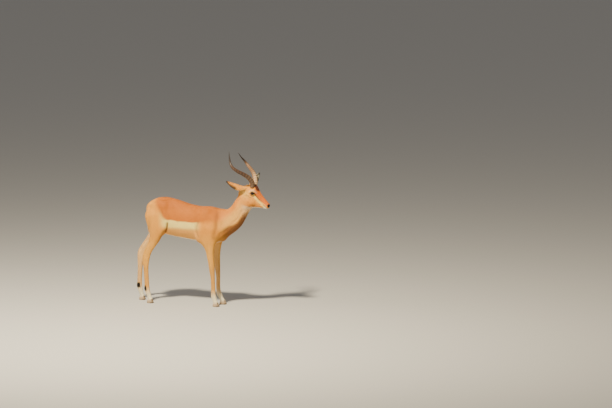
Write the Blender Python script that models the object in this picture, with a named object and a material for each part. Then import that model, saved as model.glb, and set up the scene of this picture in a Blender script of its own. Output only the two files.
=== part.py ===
"""Impala ram, life size, standing still and alert.

The animal faces +X, its left side is +Y, and its hooves stand on the plane Z = 0. The body
is one smooth surface: lofted forms (trunk, neck, head, legs) and muscles, each a function of
a point in space that is negative inside, are blended into each other. The blended surface is
meshed, thinned out, and parted by narrow cuts into trunk, neck, head and legs. Ears, horns,
eyes, tail and hoof claws are solids of their own, cut clear of the body that carries them.
All sizes are metres.
"""

import math

import bmesh
import bpy
import numpy as np
from mathutils import Matrix, Vector

# Frame: how far the body is moved along X and Y, so that its box is centred on the origin.
SHIFT_X = -0.0141
SHIFT_Y = 0.0

GAP = 0.0003  # clearance between neighbouring solids
GRID = 0.009  # cell of the grid on which the body's surface is found
FACE_GUARD = 0.002  # how strongly the face is kept from being thinned out
BODY_FACES = 4400  # triangles kept on the whole body before it is parted
FACE_X, FACE_SHARE = 0.42, 0.5  # forward of this the mesh is thinned out less

# Trunk: (X, belly height, back height, half width, where it is widest from belly 0 to back 1).
TRUNK = (
    (-0.474, 0.735, 0.838, 0.042, 0.50),
    (-0.451, 0.690, 0.880, 0.072, 0.50),
    (-0.412, 0.638, 0.907, 0.093, 0.50),
    (-0.330, 0.606, 0.927, 0.104, 0.48),
    (-0.220, 0.584, 0.912, 0.108, 0.45),
    (-0.080, 0.566, 0.875, 0.117, 0.46),
    (0.030, 0.553, 0.861, 0.111, 0.48),
    (0.110, 0.548, 0.863, 0.096, 0.46),
    (0.170, 0.558, 0.852, 0.080, 0.44),
    (0.208, 0.580, 0.835, 0.064, 0.44),
)
TRUNK_CAPS = (0.014, 0.040)

# Neck: along its own axis from its origin, (distance, throat side, nape side, half width, widest).
NECK_ORIGIN = (0.300, 0.0, 0.755)
NECK_DIRECTION = (0.588, 0.0, 0.809)
NECK = (
    (-0.170, -0.050, 0.150, 0.070, 0.45),
    (-0.110, -0.071, 0.149, 0.072, 0.45),
    (-0.030, -0.095, 0.130, 0.066, 0.45),
    (0.025, -0.102, 0.101, 0.059, 0.45),
    (0.068, -0.0985, 0.076, 0.054, 0.45),
    (0.100, -0.095, 0.070, 0.051, 0.46),
    (0.135, -0.090, 0.070, 0.049, 0.48),
    (0.185, -0.084, 0.072, 0.046, 0.50),
    (0.235, -0.066, 0.073, 0.042, 0.50),
)
NECK_CAPS = (0.050, 0.025)

# Head: along the face from the poll to the nose, (distance, jaw side, brow side, half width, widest).
HEAD_ORIGIN = (0.440, 0.0, 0.990)
HEAD_DIRECTION = (0.841, 0.0, -0.541)
HEAD = (
    (-0.050, -0.040, 0.048, 0.0400, 0.55),
    (-0.015, -0.078, 0.088, 0.0460, 0.58),
    (0.020, -0.095, 0.108, 0.0470, 0.62),
    (0.044, -0.097, 0.1155, 0.0465, 0.63),
    (0.067, -0.093, 0.1045, 0.0450, 0.64),
    (0.095, -0.079, 0.0870, 0.0395, 0.62),
    (0.125, -0.060, 0.0745, 0.0340, 0.58),
    (0.160, -0.037, 0.0640, 0.0285, 0.55),
    (0.195, -0.018, 0.0550, 0.0255, 0.50),
    (0.221, -0.004, 0.0475, 0.0235, 0.50),
)
HEAD_CAPS = (0.020, 0.017)

# Legs: by height, (height, front X, rear X, half width, Y of the middle).
FORELEG = (
    (0.655, 0.178, -0.010, 0.0400, 0.070),
    (0.600, 0.182, 0.008, 0.0380, 0.076),
    (0.550, 0.178, 0.050, 0.0350, 0.080),
    (0.490, 0.167, 0.088, 0.0300, 0.081),
    (0.430, 0.166, 0.103, 0.0265, 0.080),
    (0.385, 0.169, 0.113, 0.0245, 0.079),
    (0.345, 0.171, 0.119, 0.0240, 0.078),
    (0.305, 0.172, 0.125, 0.0210, 0.078),
    (0.260, 0.173, 0.134, 0.0175, 0.078),
    (0.180, 0.176, 0.139, 0.0155, 0.079),
    (0.115, 0.181, 0.140, 0.0160, 0.080),
    (0.085, 0.188, 0.141, 0.0180, 0.080),
    (0.060, 0.194, 0.150, 0.0165, 0.080),
    (0.038, 0.202, 0.158, 0.0180, 0.080),
)
HINDLEG = (
    (0.760, -0.300, -0.480, 0.0520, 0.062),
    (0.700, -0.290, -0.464, 0.0520, 0.070),
    (0.650, -0.300, -0.450, 0.0460, 0.076),
    (0.600, -0.322, -0.441, 0.0380, 0.079),
    (0.550, -0.347, -0.447, 0.0310, 0.080),
    (0.500, -0.385, -0.469, 0.0255, 0.080),
    (0.460, -0.414, -0.491, 0.0225, 0.080),
    (0.425, -0.432, -0.503, 0.0220, 0.080),
    (0.395, -0.441, -0.507, 0.0220, 0.080),
    (0.355, -0.449, -0.505, 0.0200, 0.080),
    (0.310, -0.453, -0.499, 0.0175, 0.080),
    (0.220, -0.450, -0.492, 0.0160, 0.081),
    (0.160, -0.446, -0.488, 0.0160, 0.082),
    (0.115, -0.440, -0.483, 0.0170, 0.082),
    (0.088, -0.433, -0.479, 0.0185, 0.082),
    (0.062, -0.427, -0.466, 0.0165, 0.082),
    (0.038, -0.416, -0.459, 0.0185, 0.082),
)
LEG_CAPS = (0.010, 0.050)
# Step: by height, how far each left leg stands behind the right one.
HIND_STEP = (
    (0.820, 0.000),
    (0.730, -0.017),
    (0.630, -0.059),
    (0.530, -0.101),
    (0.440, -0.117),
    (0.360, -0.120),
    (0.260, -0.130),
    (0.175, -0.140),
    (0.100, -0.145),
    (0.040, -0.147),
)
FORE_STEP = (
    (0.620, 0.000),
    (0.500, -0.004),
    (0.400, -0.012),
    (0.250, -0.015),
    (0.120, -0.018),
    (0.070, -0.010),
    (0.030, 0.000),
)
NO_STEP = ((0.0, 0.0), (1.0, 0.0))
STIFLE_STEP = -0.059  # the left stifle's share of its leg's step

# Muscles and bony places: (X, |Y|, Z), radii along its own axes, pitch in degrees, blend.
MUSCLES = {
    "shoulder": ((0.085, 0.062, 0.715), (0.085, 0.042, 0.135), 14.0, 0.050),
    "upper_arm": ((0.118, 0.066, 0.615), (0.060, 0.036, 0.075), -20.0, 0.050),
    "elbow": ((0.028, 0.076, 0.585), (0.026, 0.020, 0.030), 0.0, 0.030),
    "haunch": ((-0.388, 0.052, 0.775), (0.092, 0.052, 0.125), -12.0, 0.050),
    "hip": ((-0.330, 0.070, 0.860), (0.055, 0.024, 0.036), 0.0, 0.050),
    "stifle": ((-0.332, 0.076, 0.655), (0.028, 0.026, 0.048), 20.0, 0.035),
}
FACE_FORMS = {
    "eye_rim": ((0.511, 0.032, 1.006), (0.032, 0.0185, 0.027), 20.0, 0.014),
    "cheek": ((0.492, 0.024, 0.925), (0.042, 0.020, 0.036), 25.0, 0.022),
    "ear_root": ((0.438, 0.034, 1.040), (0.024, 0.020, 0.024), 0.0, 0.018),
    "horn_root": ((0.505, 0.025, 1.066), (0.025, 0.021, 0.021), 40.0, 0.014),
    "nostril_rim": ((0.641, 0.0125, 0.899), (0.013, 0.0100, 0.0125), 35.0, 0.008),
}
CHIN = ((0.620, 0.0, 0.880), (0.020, 0.014, 0.011), 12.0, 0.010)

# Eyes.
EYE_CENTRE = (0.5155, 0.0385, 1.000)
EYE_RADIUS = 0.0190

# Horns: the route of the left one, its radius at base and tip, and its ridges.
HORN_ROUTE = (
    (0.503, 0.026, 1.056),
    (0.508, 0.033, 1.088),
    (0.492, 0.062, 1.130),
    (0.458, 0.108, 1.166),
    (0.415, 0.150, 1.196),
    (0.381, 0.170, 1.225),
    (0.358, 0.165, 1.258),
    (0.336, 0.132, 1.301),
    (0.319, 0.101, 1.346),
)
HORN_BASE, HORN_TIP, HORN_TAPER = 0.0205, 0.0030, 1.7
HORN_LEAN = 0.0150  # how much lower the left tip is than the route, and higher the right one
HORN_RIDGES, RIDGE_SHARE, RIDGE_DEPTH = 10, 0.64, 0.05
HORN_TIP_RINGS, HORN_SIDES = 9, 8

# Ears: (base, tip, the way its opening faces, how far its middle sags).
EAR_RIGHT = ((0.446, -0.040, 1.036), (0.294, -0.102, 1.104), (-0.51, 0.54, -0.67), 0.016)
EAR_LEFT = ((0.458, 0.042, 1.036), (0.498, 0.155, 1.156), (0.85, -0.45, 0.18), 0.0)
EAR_HALF_WIDTH, EAR_WALL = 0.0320, 0.0045
EAR_ARC_BASE, EAR_ARC_TIP = 172.0, 92.0
EAR_STATIONS, EAR_ARC_POINTS = 13, 7

# Tail: (X, Z, half width, half thickness) from root to tip.
TAIL = (
    (-0.450, 0.872, 0.022, 0.016),
    (-0.478, 0.846, 0.020, 0.014),
    (-0.490, 0.800, 0.018, 0.012),
    (-0.487, 0.735, 0.019, 0.012),
    (-0.475, 0.665, 0.021, 0.013),
    (-0.463, 0.605, 0.018, 0.011),
    (-0.456, 0.567, 0.010, 0.006),
    (-0.454, 0.553, 0.003, 0.003),
)
TAIL_RINGS, TAIL_SIDES = 15, 8

# Hooves: each foot has two claws.
CLAW_LENGTH, CLAW_WIDTH, CLAW_HEIGHT = 0.062, 0.0195, 0.040
CLAW_SPREAD = 0.0108  # half the distance between the middles of the two claws
CLAW_SPLAY = 4.0  # degrees that each toe points outwards
CLAW_RINGS, CLAW_SIDES = 4, 10
TOE_X = {"fore": 0.216, "hind_right": -0.405}

# Cuts: the outline of what is taken off, seen from the side for head and neck (X, Z), and from
# the front for the left legs (Y, Z), with the stretch of X that the leg's cut covers.
HEAD_CUT = ((0.462, 0.838), (0.372, 1.012), (0.372, 1.20), (0.80, 1.20), (0.80, 0.838))
NECK_CUT = ((0.240, 0.560), (0.150, 0.880), (0.150, 1.20), (0.80, 1.20), (0.80, 0.560))
LEG_CUTS = {
    "foreleg": (((0.004, 0.525), (0.150, 0.680), (0.150, -0.05), (0.004, -0.05)), (-0.045, 0.260)),
    "hindleg": (((0.004, 0.560), (0.180, 0.830), (0.180, -0.05), (0.004, -0.05)), (-0.750, -0.262)),
}

COLOURS = {
    "coat": ((0.62, 0.33, 0.15), 0.85),
    "coat_pale": ((0.74, 0.52, 0.30), 0.85),
    "horn": ((0.10, 0.075, 0.055), 0.45),
    "eye": ((0.020, 0.012, 0.008), 0.08),
    "hoof": ((0.035, 0.030, 0.028), 0.40),
}


# ---------------------------------------------------------------- scene and materials


def clear_scene():
    for old in list(bpy.data.objects):
        bpy.data.objects.remove(old, do_unlink=True)


def material(name):
    """A Principled material in one of the animal's plain colours."""
    found = bpy.data.materials.get(name)
    if found:
        return found
    colour, roughness = COLOURS[name]
    made = bpy.data.materials.new(name)
    made.use_nodes = True
    shader = made.node_tree.nodes["Principled BSDF"]
    shader.inputs["Base Color"].default_value = (*colour, 1.0)
    shader.inputs["Roughness"].default_value = roughness
    shader.inputs["Metallic"].default_value = 0.0
    return made


def add_object(name, mesh, colour):
    """Puts a mesh into the scene as a named object with one material."""
    made = bpy.data.objects.new(name, mesh)
    bpy.context.scene.collection.objects.link(made)
    mesh.materials.clear()
    mesh.materials.append(material(colour))
    mesh.shade_smooth()
    return made


def mesh_of(name, points, faces):
    mesh = bpy.data.meshes.new(name)
    mesh.from_pydata([tuple(p) for p in points], [], [tuple(f) for f in faces])
    mesh.update()
    return mesh


# ---------------------------------------------------------------- forms as functions of space


def smooth_column(at, stations, column):
    """A smooth curve through one column of a table of stations, read at the given places."""
    table = np.array(sorted(stations), float)
    place, value = table[:, 0], table[:, column]
    slope = np.gradient(value, place)
    at = np.clip(at, place[0], place[-1])
    span = np.clip(np.searchsorted(place, at) - 1, 0, len(place) - 2)
    width = place[span + 1] - place[span]
    t = (at - place[span]) / width
    return (
        (2 * t**3 - 3 * t**2 + 1) * value[span]
        + (t**3 - 2 * t**2 + t) * width * slope[span]
        + (3 * t**2 - 2 * t**3) * value[span + 1]
        + (t**3 - t**2) * width * slope[span + 1]
    )


def ellipse_distance(offsets, radii):
    """About the distance to an ellipse or ellipsoid with these radii, negative inside."""
    near = np.sqrt(sum((o / r) ** 2 for o, r in zip(offsets, radii))) + 1e-9
    steep = np.sqrt(sum((o / r**2) ** 2 for o, r in zip(offsets, radii))) + 1e-9
    return near * (near - 1.0) / steep


def loft(points, stations, caps, origin=(0, 0, 0), direction=(1, 0, 0)):
    """A body lofted along a straight axis in the plane Y = 0.

    Each station gives the axis distance, the low and the high edge across the axis, the half
    width along Y, and how far up the section is widest. Past its ends it closes in round caps.
    """
    x, y, z = (points - np.array(origin)).T
    length = math.hypot(direction[0], direction[2])
    dx, dz = direction[0] / length, direction[2] / length
    along, across = x * dx + z * dz, z * dx - x * dz
    low, high, half, widest = (smooth_column(along, stations, c) for c in (1, 2, 3, 4))
    middle = low + widest * (high - low)
    over = across - middle
    reach = np.where(over > 0, high - middle, middle - low)
    first, last = min(s[0] for s in stations), max(s[0] for s in stations)
    beyond = np.maximum(along - last, 0) / caps[1] + np.maximum(first - along, 0) / caps[0]
    return ellipse_distance((over, y, beyond * half), (reach, half, half))


def leg(points, stations, side, step):
    """A leg lofted upwards, on the side +1 (left) or -1 (right), swung along X below the hip."""
    x, y, z = points.T
    front, rear, half, out = (smooth_column(z, stations, c) for c in (1, 2, 3, 4))
    x = x - smooth_column(z, step, 1)
    first, last = min(s[0] for s in stations), max(s[0] for s in stations)
    beyond = np.maximum(z - last, 0) / LEG_CAPS[1] + np.maximum(first - z, 0) / LEG_CAPS[0]
    reach = (front - rear) / 2
    return ellipse_distance((x - (front + rear) / 2, y - side * out, beyond * half), (reach, half, half))


def lump(points, centre, radii, pitch):
    """An ellipsoid turned about Y by the pitch, in degrees."""
    x, y, z = (points - np.array(centre)).T
    c, s = math.cos(math.radians(pitch)), math.sin(math.radians(pitch))
    return ellipse_distance((x * c + z * s, y, z * c - x * s), radii)


def blend(a, b, width):
    """The union of two forms, with a fillet of about this width where they meet."""
    near = np.maximum(width - np.abs(a - b), 0) / width
    return np.minimum(a, b) - near * near * width / 4


def pair(centre, radii, pitch, points):
    """One form on each side of the animal."""
    x, y, z = centre
    left = lump(points, (x, y, z), radii, pitch)
    return np.minimum(left, lump(points, (x, -y, z), radii, pitch))


def body(points):
    """The whole body without ears, horns, eyes, tail and hooves: negative inside."""
    found = loft(points, TRUNK, TRUNK_CAPS)
    for name, (centre, radii, pitch, width) in MUSCLES.items():
        for side in (-1, 1):
            step = STIFLE_STEP if name == "stifle" and side > 0 else 0.0
            place = (centre[0] + step, side * centre[1], centre[2])
            found = blend(found, lump(points, place, radii, pitch), width)
    for side in (-1, 1):
        found = blend(found, leg(points, FORELEG, side, FORE_STEP if side > 0 else NO_STEP), 0.040)
        found = blend(found, leg(points, HINDLEG, side, HIND_STEP if side > 0 else NO_STEP), 0.035)
    found = blend(found, loft(points, NECK, NECK_CAPS, NECK_ORIGIN, NECK_DIRECTION), 0.070)
    head = loft(points, HEAD, HEAD_CAPS, HEAD_ORIGIN, HEAD_DIRECTION)
    for centre, radii, pitch, width in FACE_FORMS.values():
        head = blend(head, pair(centre, radii, pitch, points), width)
    head = blend(head, lump(points, *CHIN[:3]), CHIN[3])
    return blend(found, head, 0.035)


# ---------------------------------------------------------------- meshing the blended body


def surface_of(form, low, high, cell):
    """Points and four-sided faces of the surface where the form is zero.

    Each grid cell that the surface crosses gets one point, at the mean of its crossings, and
    each grid edge that it crosses gets the face between the four cells around that edge.
    """
    axes = [np.arange(a, b + cell, cell) for a, b in zip(low, high)]
    grid = np.stack(np.meshgrid(*axes, indexing="ij"), axis=-1)
    value = form(grid.reshape(-1, 3)).reshape(grid.shape[:3])
    inside = value < 0
    total = np.zeros(np.array(value.shape) - 1).astype(float)
    place = np.zeros((*total.shape, 3))
    for axis in range(3):
        a = tuple(slice(None, -1) if k == axis else slice(None) for k in range(3))
        b = tuple(slice(1, None) if k == axis else slice(None) for k in range(3))
        crossed = inside[a] != inside[b]
        share = np.where(crossed, value[a] / np.where(crossed, value[a] - value[b], 1), 0)
        where = grid[a] + share[..., None] * (grid[b] - grid[a])
        others = [k for k in range(3) if k != axis]
        for shift in ((0, 0), (0, 1), (1, 0), (1, 1)):
            part = [slice(None)] * 3
            for k, step in zip(others, shift):
                part[k] = slice(step, crossed.shape[k] - 1 + step)
            part = tuple(part)
            total += crossed[part]
            place += where[part] * crossed[part][..., None]
    used = total > 0
    number = np.full(total.shape, -1)
    number[used] = np.arange(used.sum())
    points = place[used] / total[used][:, None]
    faces = []
    for axis in range(3):
        a = tuple(slice(None, -1) if k == axis else slice(1, -1) for k in range(3))
        b = tuple(slice(1, None) if k == axis else slice(1, -1) for k in range(3))
        j, k = ((axis + 1) % 3, (axis + 2) % 3)
        i = np.argwhere(inside[a] != inside[b])
        rising = inside[a][tuple(i.T)]
        ring = []
        for dj, dk in ((0, 0), (1, 0), (1, 1), (0, 1)):
            cell_index = i.copy()
            cell_index[:, j] += dj
            cell_index[:, k] += dk
            ring.append(number[tuple(cell_index.T)])
        ring = np.stack(ring, axis=1)
        ring[~rising] = ring[~rising][:, ::-1]
        faces.append(ring)
    return points, np.concatenate(faces)


def settle(form, points, rounds=3):
    """Moves each point along the form's slope until it lies on the surface."""
    step = 0.0005
    for _ in range(rounds):
        value = form(points)
        slope = np.stack(
            [(form(points + step * e) - form(points - step * e)) / (2 * step) for e in np.eye(3)],
            axis=1,
        )
        size = np.maximum((slope**2).sum(axis=1), 0.05)
        points = points - np.clip(value / size, -GRID, GRID)[:, None] * slope
    return points


def body_object():
    """The body as one closed mesh of about BODY_FACES triangles."""
    low, high = (-0.70, -0.18, 0.0), (0.70, 0.18, 1.12)
    points, faces = surface_of(body, low, high, GRID)
    mesh = mesh_of("body", settle(body, points), faces)
    made = add_object("body", mesh, "coat")
    detail = made.vertex_groups.new(name="may_thin")
    for vertex in mesh.vertices:
        detail.add([vertex.index], 1.0 if vertex.co.x < FACE_X else FACE_SHARE, "REPLACE")
    thin = made.modifiers.new("thin_out", "DECIMATE")
    thin.vertex_group = detail.name
    thin.vertex_group_factor = FACE_GUARD
    thin.ratio = BODY_FACES / (2 * len(faces))
    return applied(made)


# ---------------------------------------------------------------- parting and trimming


def applied(made):
    """The object with its modifiers worked into its mesh, as triangles with no slivers."""
    graph = bpy.context.evaluated_depsgraph_get()
    mesh = bpy.data.meshes.new_from_object(made.evaluated_get(graph))
    work = bmesh.new()
    work.from_mesh(mesh)
    bmesh.ops.remove_doubles(work, verts=work.verts, dist=0.0001)
    bmesh.ops.dissolve_degenerate(work, edges=work.edges, dist=0.0001)
    bmesh.ops.triangulate(work, faces=work.faces)
    keep_largest(work)
    work.to_mesh(mesh)
    work.free()
    made.modifiers.clear()
    made.data = mesh
    mesh.shade_smooth()
    return made


def keep_largest(work):
    """Deletes all but the island with the most vertices."""
    left, islands = set(work.verts), []
    while left:
        seed = left.pop()
        island, edge = {seed}, [seed]
        while edge:
            vertex = edge.pop()
            for link in vertex.link_edges:
                other = link.other_vert(vertex)
                if other not in island:
                    island.add(other)
                    edge.append(other)
        left -= island
        islands.append(island)
    islands.sort(key=len)
    loose = [v for island in islands[:-1] for v in island]
    bmesh.ops.delete(work, geom=loose, context="VERTS")


def helper(made):
    made.hide_render = True
    made.display_type = "WIRE"
    return made


def copy_of(source, name):
    made = bpy.data.objects.new(name, source.data.copy())
    bpy.context.scene.collection.objects.link(made)
    return made


def boolean(made, operation, other):
    cut = made.modifiers.new("cut", "BOOLEAN")
    cut.operation = operation
    cut.object = other
    cut.solver = "EXACT"
    bpy.context.view_layer.update()
    return applied(made)


def region(name, outline, reach, across="Y", grow=0.0):
    """A prism: an outline in the plane across an axis, drawn out along it, each face moved out."""
    work = bmesh.new()
    for end in reach:
        for a, b in outline:
            work.verts.new((end, a, b) if across == "X" else (a, end, b))
    work.verts.ensure_lookup_table()
    count = len(outline)
    work.faces.new(work.verts[:count])
    work.faces.new(work.verts[count:])
    for i in range(count):
        j = (i + 1) % count
        work.faces.new([work.verts[n] for n in (i, j, count + j, count + i)])
    bmesh.ops.recalc_face_normals(work, faces=work.faces)
    work.normal_update()
    moved = []
    for vertex in work.verts:
        normals = np.array([face.normal for face in vertex.link_faces])
        moved.append(np.array(vertex.co) + np.linalg.solve(normals, np.full(3, grow)))
    for vertex, place in zip(work.verts, moved):
        vertex.co = place
    mesh = bpy.data.meshes.new(name)
    work.to_mesh(mesh)
    work.free()
    made = bpy.data.objects.new(name, mesh)
    bpy.context.scene.collection.objects.link(made)
    return helper(made)


def part_off(source, name, outline, reach, across="Y"):
    """Takes what lies inside a prism off the source, as a new object with a gap between them."""
    tight = region("inside", outline, reach, across)
    loose = region("outside", outline, reach, across, grow=GAP)
    piece = boolean(copy_of(source, name), "INTERSECT", tight)
    boolean(source, "DIFFERENCE", loose)
    for cutter in (tight, loose):
        bpy.data.objects.remove(cutter, do_unlink=True)
    return piece


def clear_of(piece, block, distance=GAP):
    """Cuts a piece back to stay this far outside a block."""
    guard = helper(copy_of(block, "guard"))
    swell = guard.modifiers.new("swell", "DISPLACE")
    swell.strength = distance
    swell.mid_level = 0.0
    boolean(piece, "DIFFERENCE", guard)
    bpy.data.objects.remove(guard, do_unlink=True)
    return piece


# ---------------------------------------------------------------- solids of their own


def skin_of_rings(name, rings, colour):
    """A closed solid through equal rings of points, with flat ends."""
    sides = len(rings[0])
    points = np.concatenate(rings)
    faces = []
    for i in range(len(rings) - 1):
        for j in range(sides):
            k = (j + 1) % sides
            faces.append((i * sides + j, i * sides + k, (i + 1) * sides + k, (i + 1) * sides + j))
    faces.append(tuple(range(sides))[::-1])
    faces.append(tuple(range((len(rings) - 1) * sides, len(rings) * sides)))
    mesh = mesh_of(name, points, faces)
    work = bmesh.new()
    work.from_mesh(mesh)
    bmesh.ops.recalc_face_normals(work, faces=work.faces)
    bmesh.ops.triangulate(work, faces=work.faces)
    work.to_mesh(mesh)
    work.free()
    return add_object(name, mesh, colour)


def along_route(route, count):
    """Evenly numbered points on a smooth curve through a route."""
    stations = [(i, *p) for i, p in enumerate(route)]
    at = np.linspace(0, len(route) - 1, count)
    return np.stack([smooth_column(at, stations, c) for c in range(1, len(route[0]) + 1)], axis=1)


def horn(name, side):
    """A horn that thins towards its tip, with a crest and a groove for each ridge lower down."""
    ridged = RIDGE_SHARE * np.arange(2 * HORN_RIDGES) / (2 * HORN_RIDGES)
    places = np.concatenate([ridged, np.linspace(RIDGE_SHARE, 1, HORN_TIP_RINGS)])
    last = len(HORN_ROUTE) - 1
    lean = [-side * HORN_LEAN * (i / last) ** 1.5 for i in range(last + 1)]
    stations = [(i, x, side * y, z + lean[i]) for i, (x, y, z) in enumerate(HORN_ROUTE)]
    at = places * last
    route = np.stack([smooth_column(at, stations, c) for c in (1, 2, 3)], axis=1)
    heading = np.gradient(route, at, axis=0)
    heading /= np.linalg.norm(heading, axis=1)[:, None]
    angle = np.linspace(0, 2 * math.pi, HORN_SIDES, endpoint=False)[:, None]
    rings = []
    for i, (t, place, ahead) in enumerate(zip(places, route, heading)):
        ridge = RIDGE_DEPTH * (-1) ** i if i < 2 * HORN_RIDGES else 0.0
        radius = (HORN_BASE * (1 - t**HORN_TAPER) + HORN_TIP) * (1 + ridge)
        first = np.cross(ahead, (1.0, 0.0, 0.0))
        first /= np.linalg.norm(first)
        second = np.cross(ahead, first)
        rings.append(place + radius * (np.cos(angle) * first + np.sin(angle) * second))
    return skin_of_rings(name, rings, "horn")


def ear(name, base, tip, opening, sag):
    """A leaf-shaped, cupped ear: each ring is an outer arc and, one wall inside it, an inner arc."""
    base, tip, opening = (np.array(v, float) for v in (base, tip, opening))
    length = np.linalg.norm(tip - base)
    axis = (tip - base) / length
    opening -= axis * (opening @ axis)
    opening /= np.linalg.norm(opening)
    across = np.cross(axis, opening)
    rings = []
    for t in np.linspace(0, 1, EAR_STATIONS):
        half = EAR_HALF_WIDTH * max(math.sin(math.pi * (0.16 + 0.84 * t)), 0.02) ** 0.8
        arc = math.radians(EAR_ARC_BASE + (EAR_ARC_TIP - EAR_ARC_BASE) * t**0.6)
        radius = half / math.sin(arc / 2)
        wall = EAR_WALL * (1 - 0.6 * t)
        angle = np.linspace(-arc / 2, arc / 2, EAR_ARC_POINTS)[:, None]
        back = np.cos(angle) - math.cos(arc / 2)
        outer = radius * (np.sin(angle) * across - back * opening)
        thinner = 1 - wall / radius
        inner = radius * (thinner * np.sin(angle) * across - (back - wall / radius) * opening)
        drop = np.array((0.0, 0.0, -4 * sag * t * (1 - t)))
        rings.append(base + axis * t * length + drop + np.concatenate([outer, inner[::-1]]))
    return skin_of_rings(name, rings, "coat")


def tail_object():
    """The tail: an oval tube that leaves the rump and hangs between the thighs."""
    route = along_route(TAIL, TAIL_RINGS)
    place = np.stack([route[:, 0], 0 * route[:, 0], route[:, 1]], axis=1)
    heading = np.gradient(place, axis=0)
    heading /= np.linalg.norm(heading, axis=1)[:, None]
    angle = np.linspace(0, 2 * math.pi, TAIL_SIDES, endpoint=False)[:, None]
    side = np.array((0.0, 1.0, 0.0))
    rings = [
        p + w * np.cos(angle) * side + h * np.sin(angle) * np.cross(a, side)
        for p, a, w, h in zip(place, heading, route[:, 2], route[:, 3])
    ]
    return skin_of_rings("tail", rings, "coat_pale")


def claw(name, toe, middle, side):
    """One claw of a hoof: a flat sole drawn out to a point in front, leaning back as it rises."""
    turn = math.radians(CLAW_SPLAY) * side
    middle += CLAW_LENGTH * math.sin(turn)
    rings = []
    angle = np.linspace(0, 2 * math.pi, CLAW_SIDES, endpoint=False)
    for level in np.linspace(0, 1, CLAW_RINGS):
        length = CLAW_LENGTH * (1 - 0.36 * level)
        width = CLAW_WIDTH * (1 - 0.10 * level) * (1 - 0.06 * math.cos(math.pi * level))
        lean = -0.52 * CLAW_HEIGHT * level
        along = length * (np.cos(angle) - 1) / 2
        pinch = np.sqrt(np.clip(-along / length * 1.5, 0, 1)) * (0.55 + 0.45 * np.abs(np.sin(angle)))
        x = along + lean
        y = width / 2 * np.sin(angle) * pinch
        ring = np.stack([x * math.cos(turn) - y * math.sin(turn), x * math.sin(turn) + y * math.cos(turn)])
        height = np.full(CLAW_SIDES, CLAW_HEIGHT * level)
        rings.append(np.stack([ring[0] + toe, ring[1] + middle, height], axis=1))
    return skin_of_rings(name, rings, "hoof")


def eye(name, side, radius):
    work = bmesh.new()
    bmesh.ops.create_icosphere(work, subdivisions=2, radius=radius)
    x, y, z = EYE_CENTRE
    bmesh.ops.translate(work, verts=work.verts, vec=(x, side * y, z))
    mesh = bpy.data.meshes.new(name)
    work.to_mesh(mesh)
    work.free()
    return add_object(name, mesh, "eye")


# ---------------------------------------------------------------- the whole animal


def build():
    clear_scene()
    whole = body_object()

    tail_object_ = tail_object()
    fitted = [
        horn("horn_left", 1),
        horn("horn_right", -1),
        ear("ear_left", *EAR_LEFT),
        ear("ear_right", *EAR_RIGHT),
        tail_object_,
    ]
    feet = {
        "fore_left": (TOE_X["fore"], 0.080),
        "fore_right": (TOE_X["fore"], -0.080),
        "hind_left": (TOE_X["hind_right"] + HIND_STEP[-1][1], 0.082),
        "hind_right": (TOE_X["hind_right"], -0.082),
    }
    for foot, (toe, middle) in feet.items():
        for word, way in (("outer", math.copysign(1, middle)), ("inner", -math.copysign(1, middle))):
            fitted.append(claw(f"hoof_{foot}_{word}", toe, middle + way * CLAW_SPREAD, way))
    for piece in fitted:
        clear_of(piece, whole)
    for piece in fitted[:2]:
        for flap in fitted[2:4]:
            clear_of(flap, piece)

    for word, side in (("left", 1), ("right", -1)):
        socket = helper(eye("socket", side, EYE_RADIUS + GAP))
        boolean(whole, "DIFFERENCE", socket)
        bpy.data.objects.remove(socket, do_unlink=True)
        eye(f"eye_{word}", side, EYE_RADIUS)

    wide = (-0.3, 0.3)
    part_off(whole, "head", HEAD_CUT, wide)
    part_off(whole, "neck", NECK_CUT, wide)
    for word, side in (("left", 1), ("right", -1)):
        for limb, (outline, reach) in LEG_CUTS.items():
            flipped = [(side * y, z) for y, z in outline]
            part_off(whole, f"{limb}_{word}", flipped, reach, across="X")
    whole.name = "trunk"

    for made in bpy.context.scene.collection.objects:
        made.data.transform(Matrix.Translation((SHIFT_X, SHIFT_Y, 0.0)))
        made.data.name = made.name


build()
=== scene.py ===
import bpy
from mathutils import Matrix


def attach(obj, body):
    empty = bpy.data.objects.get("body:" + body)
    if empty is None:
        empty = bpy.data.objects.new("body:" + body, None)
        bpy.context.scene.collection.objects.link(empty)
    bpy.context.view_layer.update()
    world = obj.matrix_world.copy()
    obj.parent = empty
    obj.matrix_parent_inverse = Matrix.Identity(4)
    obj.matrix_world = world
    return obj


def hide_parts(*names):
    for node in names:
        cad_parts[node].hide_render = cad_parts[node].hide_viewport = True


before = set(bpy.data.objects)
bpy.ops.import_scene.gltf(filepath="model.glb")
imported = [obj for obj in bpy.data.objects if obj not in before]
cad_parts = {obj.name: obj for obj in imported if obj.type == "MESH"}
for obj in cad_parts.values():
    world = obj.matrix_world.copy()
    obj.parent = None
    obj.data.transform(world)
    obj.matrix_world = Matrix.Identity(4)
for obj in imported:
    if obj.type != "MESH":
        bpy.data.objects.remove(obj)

"""Dresses the still impala ram: one skin under a coat of tufts, horns, eyes, hooves and a studio.

The skin is the surface where a blended distance is zero. The blend holds the same lofted forms
and muscles as the solids, sunk by the depth of the coat, with folds, lids, lips and nostrils
added. Every length is in metres. The animal faces +X, its left side is +Y, and the floor is Z = 0.
"""

import logging
import math
from dataclasses import dataclass, field
from enum import Enum
from typing import Callable

import bpy
import numpy as np
from mathutils import Vector

LOG = logging.getLogger("impala")
Array = np.ndarray
SHIFT = -0.0141  # where the body's own X = 0 lies in the frame
SEED = 20

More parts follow.
